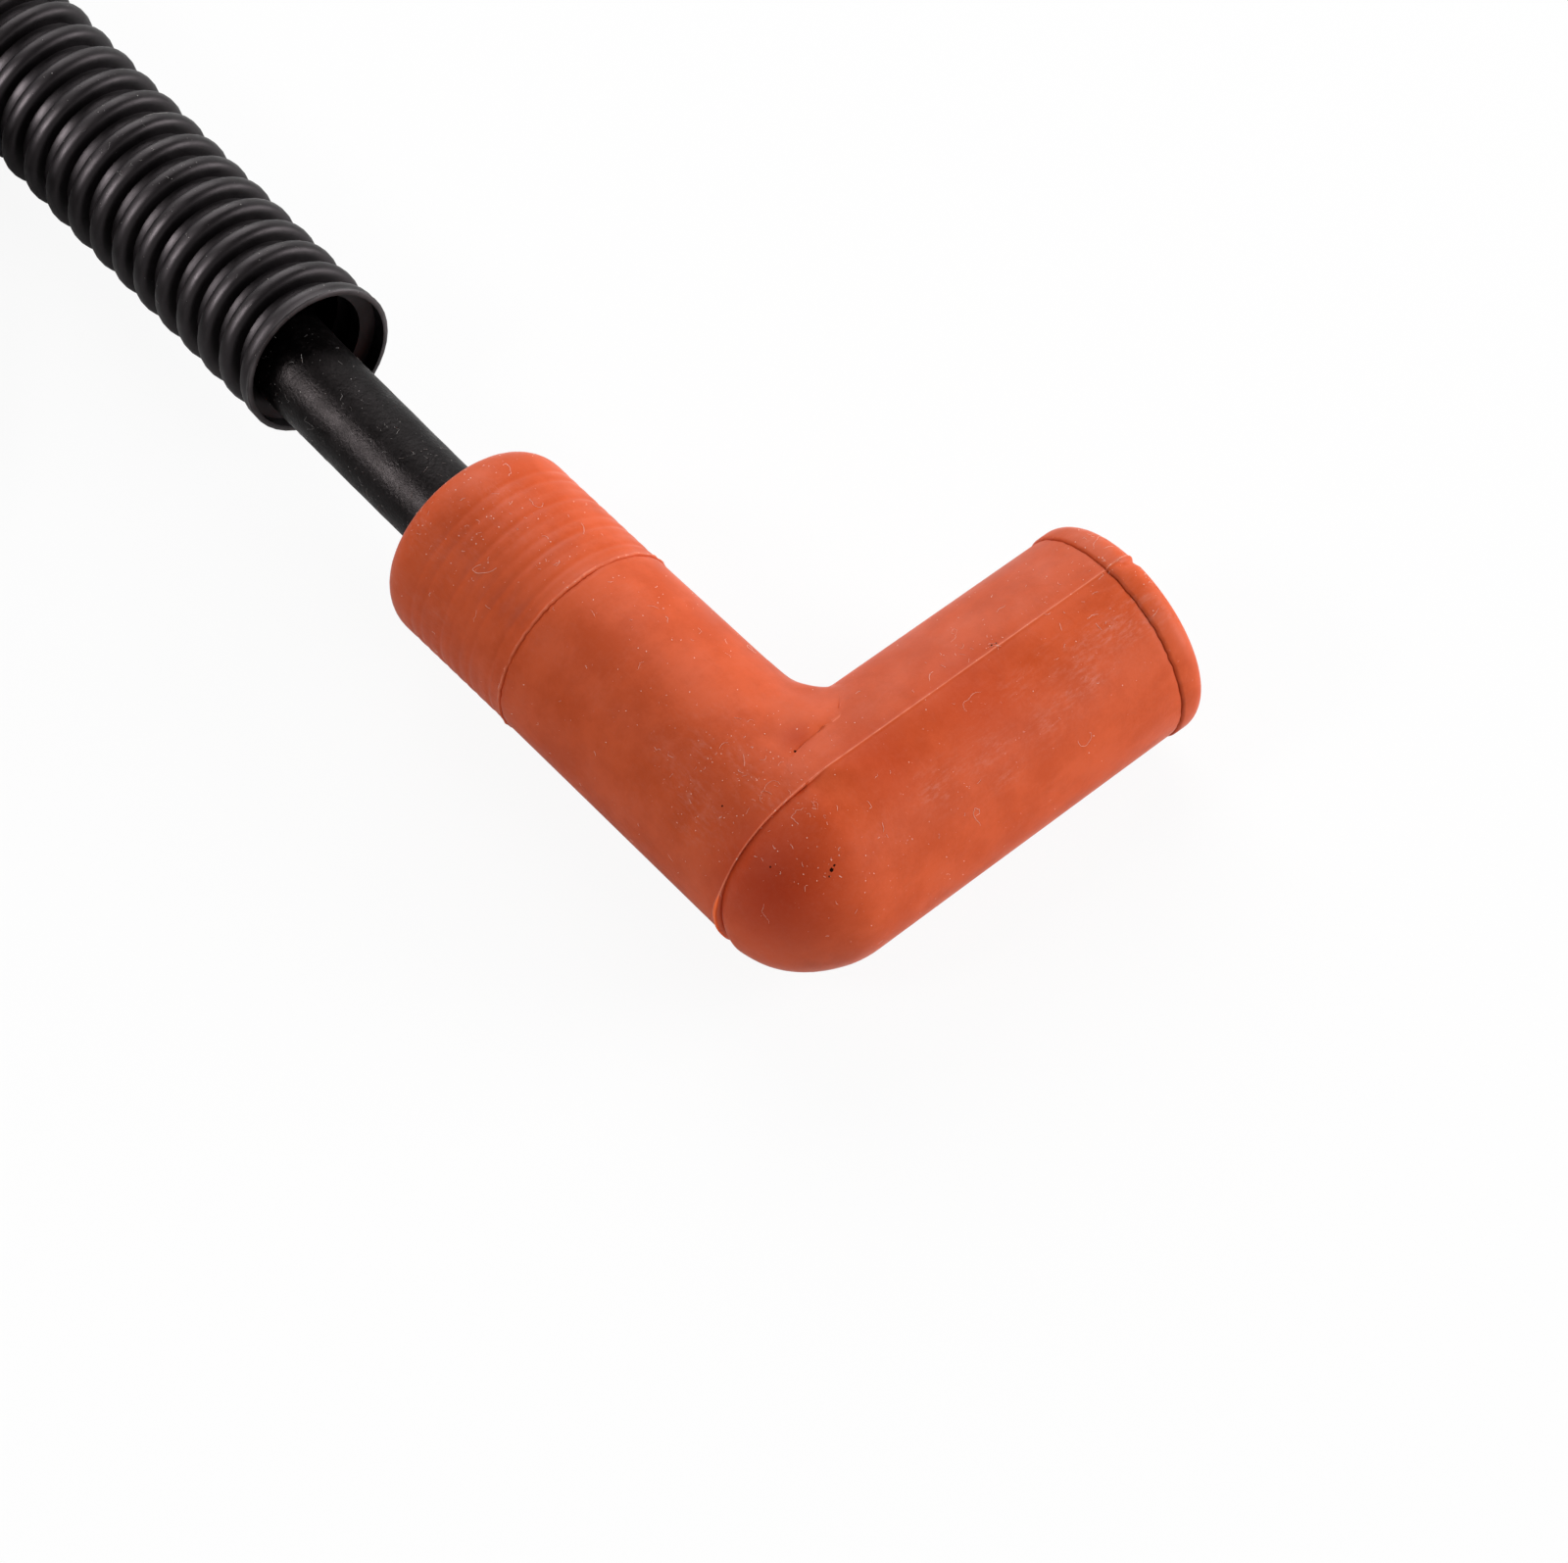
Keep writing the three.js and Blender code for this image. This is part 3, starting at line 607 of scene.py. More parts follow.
def make_loom():
    total = length_of(loom_line)
    count = int(total / LOOM_PITCH)
    pitch = total / count
    outer = []
    inner = []
    generator = random.Random(11)
    for i in range(count):
        crest = LOOM_RADIUS + generator.uniform(-1, 1) * LOOM_SWELL
        for share, depth in FINE_RING if i < LOOM_FINE_RINGS else PLAIN_RING:
            outer.append(((i + share) * pitch, crest - depth * LOOM_VALLEY))
        for share, depth in INNER_RING:
            inner.append(((i + share) * pitch, LOOM_RADIUS - LOOM_WALL - depth * LOOM_VALLEY))
    # The cut end is a thin lip that flares slightly from half a crest.
    lip = [(0.0, LOOM_RADIUS - 0.10 * MM), (0.12 * MM, LOOM_RADIUS + 0.02 * MM)]
    outer = lip + [row for row in outer if row[0] > 0.3 * MM] + [(total, outer[-1][1])]
    inner = [(0.0, LOOM_RADIUS - 0.48 * MM)] + inner[1:-1] + [(total, inner[-1][1])]
    distances, radii = split(outer + inner[::-1])
    loom = tube_mesh("loom", loom_line, distances, radii, LOOM_SIDES, loom_black)
    burr = np.clip(0.55 + 0.6 * unevenness(round_angles(LOOM_SIDES), 1.3, 6.0), 0.1, 1)
    shares = np.zeros((len(distances), LOOM_SIDES))
    shares[:2] = burr, 0.4 * burr
    mark_edges(loom, shares.reshape(-1))
    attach(loom, "root")
    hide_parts("loom_front", "loom_loop")
    return loom


def make_cable():
    total = length_of(cable_line)
    distances = np.linspace(0, total, int(total / CABLE_ROW))
    generator = random.Random(5)
    radii = np.array([CABLE_RADIUS + generator.uniform(-0.012, 0.012) * MM for _ in distances])
    radii[0] = radii[-1] = CABLE_RADIUS - 0.15 * MM
    cable = rod_mesh("cable", cable_line, distances, radii, CABLE_SIDES, cable_black)
    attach(cable, "root")
    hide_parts("cable_front", "cable_loop", "cable_tail")
    return cable


# The bare core past one end of the jacket.
def make_core(name, end, before):
    along = (end - before) / np.linalg.norm(end - before)
    line = end + along * np.linspace(-MM, CORE_LENGTH, 14)[:, None]
    distances = np.linspace(0, CORE_LENGTH + MM, 12)
    radii = np.full(12, CORE_RADIUS)
    radii[-1] = CORE_RADIUS - 0.2 * MM
    core = rod_mesh(name, line, distances, radii, CORE_SIDES, core_grey)
    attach(core, "root")
    return core


# Elbow boot.

BOOT_SIDES = 144
SEAM_NICK = 20.8 # place of the torn bit of seam on the socket arm, in mm
TURN_END = 5 * MM # how far along the socket arm the ball's rows end
INNER_PIVOT = 14 * MM
FLARE_START = 2.35 * MM
FLARE_ROUNDING = 0.9 * MM
FLARE_SLOPE = 0.79
FLARE_SHELF = 1.3 * MM
FILLET = 1.0 * MM
BALL_INSET = 0.16 * MM
BALL_SHOULDER = 0.42 * MM
BALL_BLEND = 7 * MM # from the corner's middle, where the ball has grown to the socket arm's size
CROWN_START = 2.9 * MM # where the socket arm starts to thin towards the web
CROWN_SPAN = 4.2 * MM
CROWN_END = -3.2 * MM
SEAM_ANGLE_STEPS = (-2.2, -1.3, -0.6, -0.28, -0.06, 0.16, 0.38, 0.7, 1.3, 2.2)
OUTSIDE = 1.0 # a field's value where a part of the form isn't meant

# Rows of the ring: places along the cable arm in mm, and shares of its height and of the edge colour,
# which paints a highlight along the ring's ridge.
RING_ROWS = (
    (0.40, 0.0, 0.0), (0.30, 0.45, 0.2), (0.22, 1.0, 0.45), (0.10, 1.0, 0.5), (0.04, 0.5, 0.2),
    (0.0, -0.8, 0.0), (-0.16, 0.0, 0.0),
)
RING_HEIGHT = 0.2 * MM
NOTCH_ROWS = 7


def boot_angles(count):
    plain = np.degrees(round_angles(count))
    keep = [angle for angle in plain if min(abs(angle - 90), abs(angle - 270)) > 2.5]
    extra = [middle + step for middle in (90, 270) for step in SEAM_ANGLE_STEPS]
    return np.radians(np.sort(np.array(keep + extra)))


# Degrees from the nearer of the two seam lines, at the top and the bottom of an arm.
def from_seam(angles):
    degrees = np.degrees(angles)
    return np.where(np.abs(degrees - 90) < np.abs(degrees - 270), degrees - 90, 270 - degrees)


def cable_arm_radius(y):
    return CABLE_ARM - CABLE_ARM_TAPER * np.clip(y / RING_PLACE, 0, 1)


# Thinner near the corner, to meet the ball below the axis and the web above it.
def socket_arm_radius(x, y):
    plain = SOCKET_ARM - SOCKET_ARM_TAPER * np.clip(x / SOCKET_ARM_END, 0, 1)
    span = 2.8 * MM + 3.2 * MM * smoothstep(0, 3 * MM, -y)
    thin = fade(0, 1, x / span) * fade(0, BALL_BLEND, -y)
    crown = (np.clip(CROWN_START - x, 0, None) / CROWN_SPAN) ** 2
    return plain - (SOCKET_ARM - CABLE_ARM) * np.where(y < 0, thin, crown)


# Zero below zero and the value itself above, with a rounded turn between them.
def rounded(value, rounding):
    return 0.5 * (value + np.sqrt(value**2 + rounding**2))


# The web's flare on the cable arm, which meets the socket arm at a crease.
def flare(x, y, z):
    climb = np.degrees(np.arctan2(np.abs(z), x))
    shelf = smoothstep(48, 64, climb)
    clear = y - np.sqrt(np.clip(SOCKET_ARM**2 - z**2, 0, None))
    swell = rounded(FLARE_START + FLARE_SHELF * shelf - clear, FLARE_ROUNDING)
    swell = swell - 1.3 * shelf * rounded(FLARE_SHELF * shelf - clear, 0.5 * MM)
    weight = 0.62 + 0.55 * smoothstep(26, 42, climb) - 0.17 * smoothstep(44, 54, climb)
    return np.where(clear < -3 * MM, 0, FLARE_SLOPE * swell * weight * fade(48, 86, climb))


def cable_arm_field(x, y, z):
    return np.sqrt(x**2 + z**2) - cable_arm_radius(y)


def socket_arm_field(x, y, z):
    return np.sqrt(y**2 + z**2) - socket_arm_radius(x, y)


# The outer corner: a ball that grows from the cable arm's size to the socket arm's.
def ball_field(x, y, z):
    flat = np.sqrt(x**2 + y**2)
    turn = np.arctan2(-y, -x) / (math.pi / 2)
    start = CABLE_ARM - BALL_INSET
    full = CABLE_ARM + (SOCKET_ARM - CABLE_ARM) * smoothstep(0, BALL_BLEND, flat)
    shoulder = smoothstep(0, 0.12, turn) * fade(0.25, 0.8, turn) * smoothstep(4 * MM, 9 * MM, flat)
    radius = start + (full - start) * smoothstep(0, 1, turn) + BALL_SHOULDER * shoulder
    return np.sqrt(flat**2 + z**2) - radius


# Below zero inside the elbow's outer form. Points are measured from the crossing of the axes.
def elbow_field(x, y, z, cable_half):
    plain_cable = cable_arm_field(x, y, z)
    cable = np.where(y >= -1e-9, plain_cable - flare(x, y, z), OUTSIDE)
    on_socket = (x >= 0) | ((y >= 0) & (x > CROWN_END))
    socket = np.where(on_socket, socket_arm_field(x, y, z), OUTSIDE)
    ball = np.where((x < 0) & (y < 0), ball_field(x, y, z), OUTSIDE)
    # Low on the form the web runs into the socket arm with a fillet. High on it a crease stays.
    climb = np.degrees(np.arctan2(np.abs(z), np.abs(x) + 1e-9))
    fillet = FILLET * fade(36, 48, climb) + 0.01 * MM
    share = np.clip(0.5 + 0.5 * (socket - cable) / fillet, 0, 1)
    arms = socket + (cable - socket) * share - fillet * share * (1 - share)
    inside = np.minimum(np.where((x > 0) & (y > 0), arms, np.minimum(cable, socket)), ball)
    return np.where(cable_half & (x < 0), np.minimum(plain_cable, socket), inside)


def chamber_field(x, y, z, cable_half):
    cable = np.where(y >= 0, np.sqrt(x**2 + z**2) - CHAMBER, OUTSIDE)
    socket = np.where(x >= 0, np.sqrt(y**2 + z**2) - CHAMBER, OUTSIDE)
    ball = np.sqrt(x**2 + y**2 + z**2) - CHAMBER
    return np.minimum(np.minimum(cable, socket), ball)


# Distance from each centre along each direction to the outermost point of the form.
def reach(centres, directions, field, cable_half):
    steps = np.linspace(2 * MM, 30 * MM, 141)
    spots = centres[..., None, :] + directions[..., None, :] * steps[:, None]
    inside = field(*np.moveaxis(spots, -1, 0), cable_half[..., None]) < 0
    last = len(steps) - 1 - np.argmax(inside[..., ::-1], axis=-1)
    low = steps[last]
    high = low + (steps[1] - steps[0])
    for _ in range(22):
        middle = (low + high) / 2
        spots = centres + directions * middle[..., None]
        within = field(*np.moveaxis(spots, -1, 0), cable_half) < 0
        low = np.where(within, middle, low)
        high = np.where(within, high, middle)
    return (low + high) / 2


# Bearing, from the crossing of the axes, at which the web's crease lies, for one slope of the ray.
def crease_bearing(slope):
    bearings = np.radians(np.linspace(20, 85, 261))
    level = math.cos(slope)
    directions = np.column_stack([
        level * np.cos(bearings), level * np.sin(bearings), np.full(len(bearings), math.sin(slope)),
    ])
    steps = np.linspace(5 * MM, 20 * MM, 601)
    x, y, z = np.moveaxis(directions[:, None, :] * steps[:, None], -1, 0)
    on_cable = cable_arm_field(x, y, z) - flare(x, y, z) < 0
    on_socket = socket_arm_field(x, y, z) < 0
    crossed = np.argmax(on_cable[:, ::-1], axis=1) <= np.argmax(on_socket[:, ::-1], axis=1)
    return float(bearings[np.argmax(crossed)] if crossed.any() else bearings[-1])


# Rows of the elbow's corner, as centres, bearings of the outer rays, how far the inner rays have turned
# from the cable arm (0) past the crease (1) to the socket arm (2), and one for the cable arm's half.
def corner_rows(cable_steps, ball_steps, socket_steps):
    close = np.array([0.48, 0.38, 0.3, 0.22, 0.12, 0.02]) * MM
    ys = np.concatenate([np.linspace(INNER_PIVOT, 0.6 * MM, cable_steps), close])
    rows = [(0.0, y, math.pi, 1 - y / INNER_PIVOT, 1) for y in ys]
    for share in np.concatenate([[0.0008, 0.006, 0.014, 0.03], np.linspace(0.05, 1, ball_steps)]):
        x = TURN_END * share
        rows.append((x, 0.0, math.pi + math.pi / 2 * share, 1 + x / INNER_PIVOT, 0))
    for x in np.linspace(TURN_END, INNER_PIVOT, socket_steps)[1:]:
        rows.append((x, 0.0, 1.5 * math.pi, 1 + x / INNER_PIVOT, 0))
    return np.array(rows)


# Centres, directions and distances of the corner's points, and its rows.
def corner_points(field, angles, steps):
    rows = corner_rows(*steps)
    x, y, bearing, progress, half = rows.T[:, :, None]
    creases = np.array([
        crease_bearing(math.asin(math.sin(angle))) if math.cos(angle) < 0 else math.pi / 4
        for angle in angles
    ])
    past = creases + (math.pi / 2 - creases) * (progress - 1)
    bearings = np.where(progress < 1, creases * progress, past)
    bearings = np.where(np.cos(angles) >= 0, bearing, bearings)
    level = np.abs(np.cos(angles))
    directions = np.stack([
        level * np.cos(bearings), level * np.sin(bearings), np.sin(angles) + 0 * bearings,
    ], axis=-1)
    centres = np.stack(np.broadcast_arrays(x, y, 0 * bearings), axis=-1)
    cable_half = np.broadcast_to(half > 0, bearings.shape)
    return centres, directions, reach(centres, directions, field, cable_half), rows


# Rows of points round a straight arm. Radii are one to a row, or one to a row and angle.
def straight_rows(distances, radii, angles, along_cable):
    radii = np.asarray(radii)
    if radii.ndim == 1:
        radii = radii[:, None]
    far = np.asarray(distances)[:, None] + 0 * angles
    across = radii * -np.cos(angles) + 0 * far
    high = radii * np.sin(angles) + 0 * far
    return np.stack((across, far, high) if along_cable else (far, across, high), axis=-1)


def split(rows):
    return np.array([row[0] for row in rows]), np.array([row[1] for row in rows])


def rounded_edge(end, radius, rounding):
    return [(end - rounding * (1 - math.sin(angle)), radius - rounding * (1 - math.cos(angle)))
            for angle in np.linspace(0, math.pi / 2, 12)]


# Distances and radii of the grooved stretch and the rounded end of a boot, from the ring outwards.
def grooved_end(ring, end, radius):
    rows = []
    for i in range(1, GROOVES + 1):
        middle = ring + 0.4 * MM + i * GROOVE_PITCH
        depth = GROOVE_DEPTH * (0.42 + 0.25 * math.sin(2.4 * i))
        for step in np.linspace(-0.5, 0.5, 8, endpoint=False):
            share = (0.5 + 0.5 * math.cos(2 * math.pi * step)) ** 2
            rows.append((middle + step * GROOVE_PITCH, radius - share * depth))
    rows += rounded_edge(end, radius, END_ROUNDING)
    return rows + [(end, BORE + 0.5 * MM), (end - 0.2 * MM, BORE)]


# Distances and radii of the notch and the proud, rounded rim of a socket, out to its mouth.
def rim_rows(end, radius):
    start = end - RIM_LENGTH
    proud = radius + RIM_PROUD
    rows = [
        (start - 0.20 * MM, radius), (start - 0.09 * MM, radius - 0.02 * MM),
        (start - 0.04 * MM, radius - 0.20 * MM), (start - 0.01 * MM, radius - 0.20 * MM),
        (start + 0.02 * MM, radius), (start + 0.07 * MM, radius + 0.6 * RIM_PROUD),
        (start + 0.3 * MM, proud),
    ]
    return rows + rounded_edge(end, proud, RIM_ROUNDING) + [(end, SOCKET_BORE + MOUTH_CHAMFER)]


# Distances and radii of the socket's bore with its two ribs, from the mouth inwards.
def socket_rows(start, end):
    rows = [(end - 0.25 * MM, SOCKET_BORE + 0.5 * MOUTH_CHAMFER), (end - MOUTH_CHAMFER, SOCKET_BORE)]
    for place in (1, 2):
        rib = end - MOUTH_CHAMFER - place * RIB_SPACING
        for share in np.linspace(-1, 1, 9)[::-1]:
            height = RIB_HEIGHT * 0.5 * (1 + math.cos(math.pi * share))
            rows.append((rib + share * RIB_WIDTH / 2, SOCKET_BORE - height))
    return rows + [(start, SOCKET_BORE), (start, CHAMBER)]


# Each block of the boot is rows of points and their shares of the edge colour, the painted highlight and
# painted glow of ridges, crease and flash.

def cable_arm_blocks(angles):
    arm = float(cable_arm_radius(RING_PLACE))
    end = straight_rows(*split(grooved_end(RING_PLACE, CABLE_ARM_END, arm)[::-1]), angles, True)
    ragged = 0.11 + 0.09 * unevenness(angles, 3.1, 3.0) + 0.13 * unevenness(angles, 8.7, 24.0)
    ragged = np.clip(ragged, 0.02, 0.30) * MM
    places, heights, edges = np.array(RING_ROWS).T[:, :, None]
    ring = straight_rows(RING_PLACE + places[:, 0] * MM, arm + heights * ragged, angles, True)
    ring[:, :, 1] += unevenness(angles, 7.7, 26.0) * 0.09 * MM
    plain_places = np.linspace(RING_PLACE - 0.6 * MM, INNER_PIVOT + 0.7 * MM, 18)
    plain = straight_rows(plain_places, cable_arm_radius(plain_places), angles, True)
    return [(end[1:], 0), (ring, edges * np.clip(ragged / RING_HEIGHT, 0.2, 1)), (plain, 0)]


# The corner, with the flap of flash at its outer side and a fine groove along the web's crease.
def corner_block(angles):
    centres, directions, distance, rows = corner_points(elbow_field, angles, (44, 56, 30))
    x, y, _, _, half = rows.T[:, :, None]
    outer = np.cos(angles) > 0
    side = np.degrees(np.arcsin(np.sin(angles)))
    flash = np.exp(-(np.abs(side + 7) / 21.0) ** 3)
    height = 0.05 + 0.22 * flash + 0.04 * unevenness(angles, 5.5, 9.0)
    width = (0.14 + 0.44 * flash) * MM
    lip = np.exp(-((y / width) ** 4)) * ((half > 0) & (y < 1.2 * MM) & outer)
    sink = bell(x, 0, 0.13 * MM) * ((half == 0) & (x < 0.5 * MM) & outer)
    distance = distance + lip * height * MM - sink * (0.05 + 0.20 * flash) * MM
    # The flap of flash gets painted light: a painted highlight at its edge, and painted light glowing
    # through it where it is widest.
    edges = smoothstep(0.45, 0.8, lip) * (0.45 + 0.55 * smoothstep(0, 0.6, flash))
    corner = centres + directions * distance[..., None]
    crossing = int(np.argmin(rows[:, 4]))
    from_crease = np.linalg.norm(corner - corner[crossing], axis=2)
    from_crease[:crossing] *= -1
    slope = np.abs(side)
    creased = np.where(np.cos(angles) < 0, smoothstep(36, 50, slope) * fade(68.5, 71, slope), 0)
    groove = creased * 0.13 * MM * bell(from_crease, 0, 0.15 * MM)
    corner -= directions * groove[..., None]
    # A painted highlight lightens the crease's edge on the socket arm's side.
    crease_highlight = smoothstep(0.05 * MM, 0.2 * MM, from_crease) * fade(0.25 * MM, 1.1 * MM, from_crease)
    return corner, np.maximum(edges, 0.34 * creased * crease_highlight), rows[:, 0]


# The socket arm and its rim, with a ragged notch before the rim and a nick in the rim beside the seam.
def socket_arm_blocks(angles):
    length = np.linspace(INNER_PIVOT + 0.5 * MM, SOCKET_ARM_END - RIM_LENGTH - 0.6 * MM, 40)
    arm = straight_rows(length, socket_arm_radius(length, 0 * length), angles, False)
    mouth = float(socket_arm_radius(SOCKET_ARM_END, 0.0))
    rim = straight_rows(*split(rim_rows(SOCKET_ARM_END, mouth)), angles, False)
    wobble = unevenness(angles, 2.2, 14.0) * 0.07 + unevenness(angles, 6.6, 45.0) * 0.08
    rim[:NOTCH_ROWS, :, 0] += wobble * MM
    rim[:3, :, 0] += unevenness(angles, 9.1, 60.0) * 0.06 * MM
    degrees = np.degrees(angles)
    nick = (0.30 * bell(degrees, 86.8, 2.0) - 0.10 * bell(degrees, 90, 0.6)) * MM
    nicked = rim[NOTCH_ROWS + 1:]
    nicked[:, :, 1:] *= 1 - (nick / SOCKET_ARM)[:, None]
    nicked[:, :, 0] -= nick * 0.5
    return arm, rim


# Raises the mould seam's ridge on a block round the socket arm's axis, and gives its edge colour, a
# painted highlight along the ridge.
def grow_seam(block, along, angles, grown=1.0):
    degrees = from_seam(angles)
    ridge = 0.055 * bell(degrees, 0.1, 0.6) - 0.012 * bell(degrees, -1.4, 0.8)
    uneven = 0.85 + 0.5 * unevenness(along / MM, 4.4, 1.7) + 1.6 * bell(along / MM, SEAM_NICK, 0.5)
    uneven = (uneven * grown)[:, None]
    radial = np.array([0, 1, 1]) * block
    size = np.linalg.norm(radial, axis=2, keepdims=True)
    block += radial / np.maximum(size, 1e-9) * (ridge * uneven * MM)[..., None]
    return 0.5 * bell(degrees, 0.1, 0.42) * np.clip(uneven, 0, 1)


# The hollow, from the mouth back to the cable's end.
def hollow_blocks(angles):
    bore = straight_rows(*split(socket_rows(CHAMBER_MOUTH, SOCKET_ARM_END)), angles, False)
    centres, directions, distance, rows = corner_points(chamber_field, angles, (8, 12, 8))
    chamber = (centres + directions * distance[..., None])[rows[:, 0] < CHAMBER_MOUTH - 1.2 * MM]
    places = [CHAMBER_END, CHAMBER_END, 30 * MM, 38 * MM, CABLE_ARM_END - 0.2 * MM]
    back = straight_rows(places, [CHAMBER, BORE, BORE, BORE, BORE], angles, True)
    return [(bore, 0), (chamber[::-1], 0), (back, 0)]


def elbow_boot():
    angles = boot_angles(BOOT_SIDES)
    corner, corner_edges, along = corner_block(angles)
    arm, rim = socket_arm_blocks(angles)
    blocks = cable_arm_blocks(angles)
    seam = grow_seam(corner, along, angles, smoothstep(-0.1 * MM, 0.7 * MM, along))
    blocks.append((corner, np.maximum(corner_edges, seam)))
    blocks += [(block, grow_seam(block, block[:, 0, 0], angles)) for block in (arm, rim)]
    blocks += hollow_blocks(angles)
    points = np.concatenate([block for block, _ in blocks])
    faces = grid_faces(len(points), len(angles), closed=True)
    points = points.reshape(-1, 3) + ORIGIN + np.array([0, 0, AXIS_HEIGHT])
    points[:, 2] = np.maximum(points[:, 2], 0)
    boot = mesh_object("elbow_boot_shell", points, faces, orange, math.radians(60))
    mark_edges(boot, np.concatenate([
        np.broadcast_to(edges, block.shape[:2]).reshape(-1) for block, edges in blocks
    ]))
    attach(boot, "root")
    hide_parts("elbow_boot")
    return boot


# Straight boot.

PLUG_SIDES = 96
PLUG_RING_ROWS = ((0.44, 0.0), (0.36, 0.5), (0.30, 1.0), (0.12, 1.0), (0.04, 0.6), (-0.14, 0.0))
PLUG_RING_HEIGHT = 0.22 * MM


def plug_boot():
    angles = boot_angles(PLUG_SIDES)
    cable_end = [
        (PLUG_LENGTH - place, radius)
        for place, radius in grooved_end(PLUG_LENGTH - PLUG_RING, PLUG_LENGTH, PLUG_RADIUS)[::-1]
    ]
    ring = [(PLUG_RING - place * MM, PLUG_RADIUS + share * PLUG_RING_HEIGHT)
            for place, share in PLUG_RING_ROWS]
    places = np.linspace(PLUG_RING + 0.8 * MM, PLUG_LENGTH - RIM_LENGTH - MM, 30)
    plain = [(place, PLUG_RADIUS) for place in places]
    outer = cable_end[1:] + ring + plain + rim_rows(PLUG_LENGTH, PLUG_RADIUS)
    inner = socket_rows(PLUG_CHAMBER_MOUTH, PLUG_LENGTH)
    inner += [(PLUG_CHAMBER_START, CHAMBER), (PLUG_CHAMBER_START, BORE), (0.2 * MM, BORE)]
    distances, radii = split(outer + inner)
    radii = np.broadcast_to(radii[:, None], (len(radii), len(angles))).copy()
    degrees = from_seam(angles)
    ridge = 0.07 * bell(degrees, 0.5, 0.75) - 0.05 * bell(degrees, -0.9, 0.9)
    radii[len(cable_end) - 1:len(outer) - 4] += ridge * MM
    start = np.array([*PLUG_START, PLUG_AXIS_HEIGHT]) + ORIGIN
    line = np.array([start, start - [PLUG_LENGTH, 0, 0]])
    points = rings(line, distances, radii, angles)
    points[:, 2] = np.maximum(points[:, 2], 0)
    faces = grid_faces(len(distances), len(angles), closed=True)
    boot = mesh_object("plug_boot_shell", points, faces, orange_plain, math.radians(60))
    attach(boot, "root")
    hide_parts("plug_boot")
    return boot


# Tie.

TIE_INNER = 0.62 * MM
TIE_OUTER = 1.5 * MM
TIE_SIDE = 1.55 * MM
TIE_HALF = 1.8 * MM
TIE_TOOTH = 0.12 * MM
TIE_SHARP = math.radians(35)
HEAD_SIDES = 32
# Across and depth of the band's outline, as shares.
BAND_OUTLINE = (
    (-1.0, 0.15), (-0.92, 0.0), (0.92, 0.0), (1.0, 0.15), (1.0, 0.85), (0.92, 1.0),
    (-0.92, 1.0), (-1.0, 0.85),
)
# Height and half sizes of the head's rings in mm, and their squareness. The last two go into its slot.
HEAD_RINGS = (
    (-1.6, 2.75, 2.25, 6), (-1.36, 3.0, 2.5, 6), (1.36, 3.0, 2.5, 6), (1.6, 2.75, 2.25, 6),
    (1.6, 2.16, 1.55, 8), (0.32, 2.04, 1.4, 8),
)


def coil_tie():
    low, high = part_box("coil_tie")
    height = LOOM_HEIGHT + TIE_RISE
    inner = LOOM_RADIUS + TIE_INNER
    left = low.x + LOOM_RADIUS + TIE_SIDE
    right = high.x - LOOM_RADIUS - TIE_SIDE
    middle_y = (low.y + high.y) / 2
    arc = np.linspace(-math.pi / 2, math.pi / 2, 40)
    straight = np.linspace(0, 1, 30)[1:-1]
    route = [(right, angle) for angle in arc]
    route += [(right + (left - right) * share, math.pi / 2) for share in straight]
    route += [(left, angle + math.pi) for angle in arc]
    route += [(left + (right - left) * share, 1.5 * math.pi) for share in straight]
    points = []
    for i, (x, angle) in enumerate(route):
        thickness = TIE_OUTER - TIE_INNER - TIE_TOOTH * (i % 2)
        for across, depth in BAND_OUTLINE:
            radius = inner + thickness * depth
            points.append((x + radius * math.cos(angle), middle_y + across * TIE_HALF,
                           height + radius * math.sin(angle)))
    faces = grid_faces(len(route), len(BAND_OUTLINE), closed=True)
    band = mesh_object("tie_band", points, faces, tie_black, TIE_SHARP)
    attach(band, "root")
    centre = np.array([(left + right) / 2, middle_y, height + inner + 1.55 * MM])
    outline = []
    for level, half_x, half_y, power in HEAD_RINGS:
        for angle in round_angles(HEAD_SIDES):
            c = math.cos(angle)
            s = math.sin(angle)
            size = MM * (abs(c) ** power + abs(s) ** power) ** (-1 / power)
            outline.append(centre + np.array([c * size * half_x, s * size * half_y, level * MM]))
    faces = grid_faces(len(HEAD_RINGS), HEAD_SIDES)
    faces.append(list(range(HEAD_SIDES))[::-1])
    faces.append([len(outline) - HEAD_SIDES + i for i in range(HEAD_SIDES)])
    head = mesh_object("tie_head", outline, faces, tie_black, TIE_SHARP)
    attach(head, "root")
    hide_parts("coil_tie")
    return [band, head]


# Lint and grit that lie on a surface.

FIBRE_RADIUS = 0.011 * MM
LONG_FIBRE = 2 * MM
SPECK_SIDES = 6
# Ranges of fibre lengths in mm, one drawn at random, and sizes of specks.
FIBRE_LENGTHS = ((0.2, 0.6),) * 24 + ((0.6, 1.3),) * 9 + ((2.0, 3.6),)
SPECK_SIZES = (0.018, 0.022, 0.028, 0.036, 0.052)


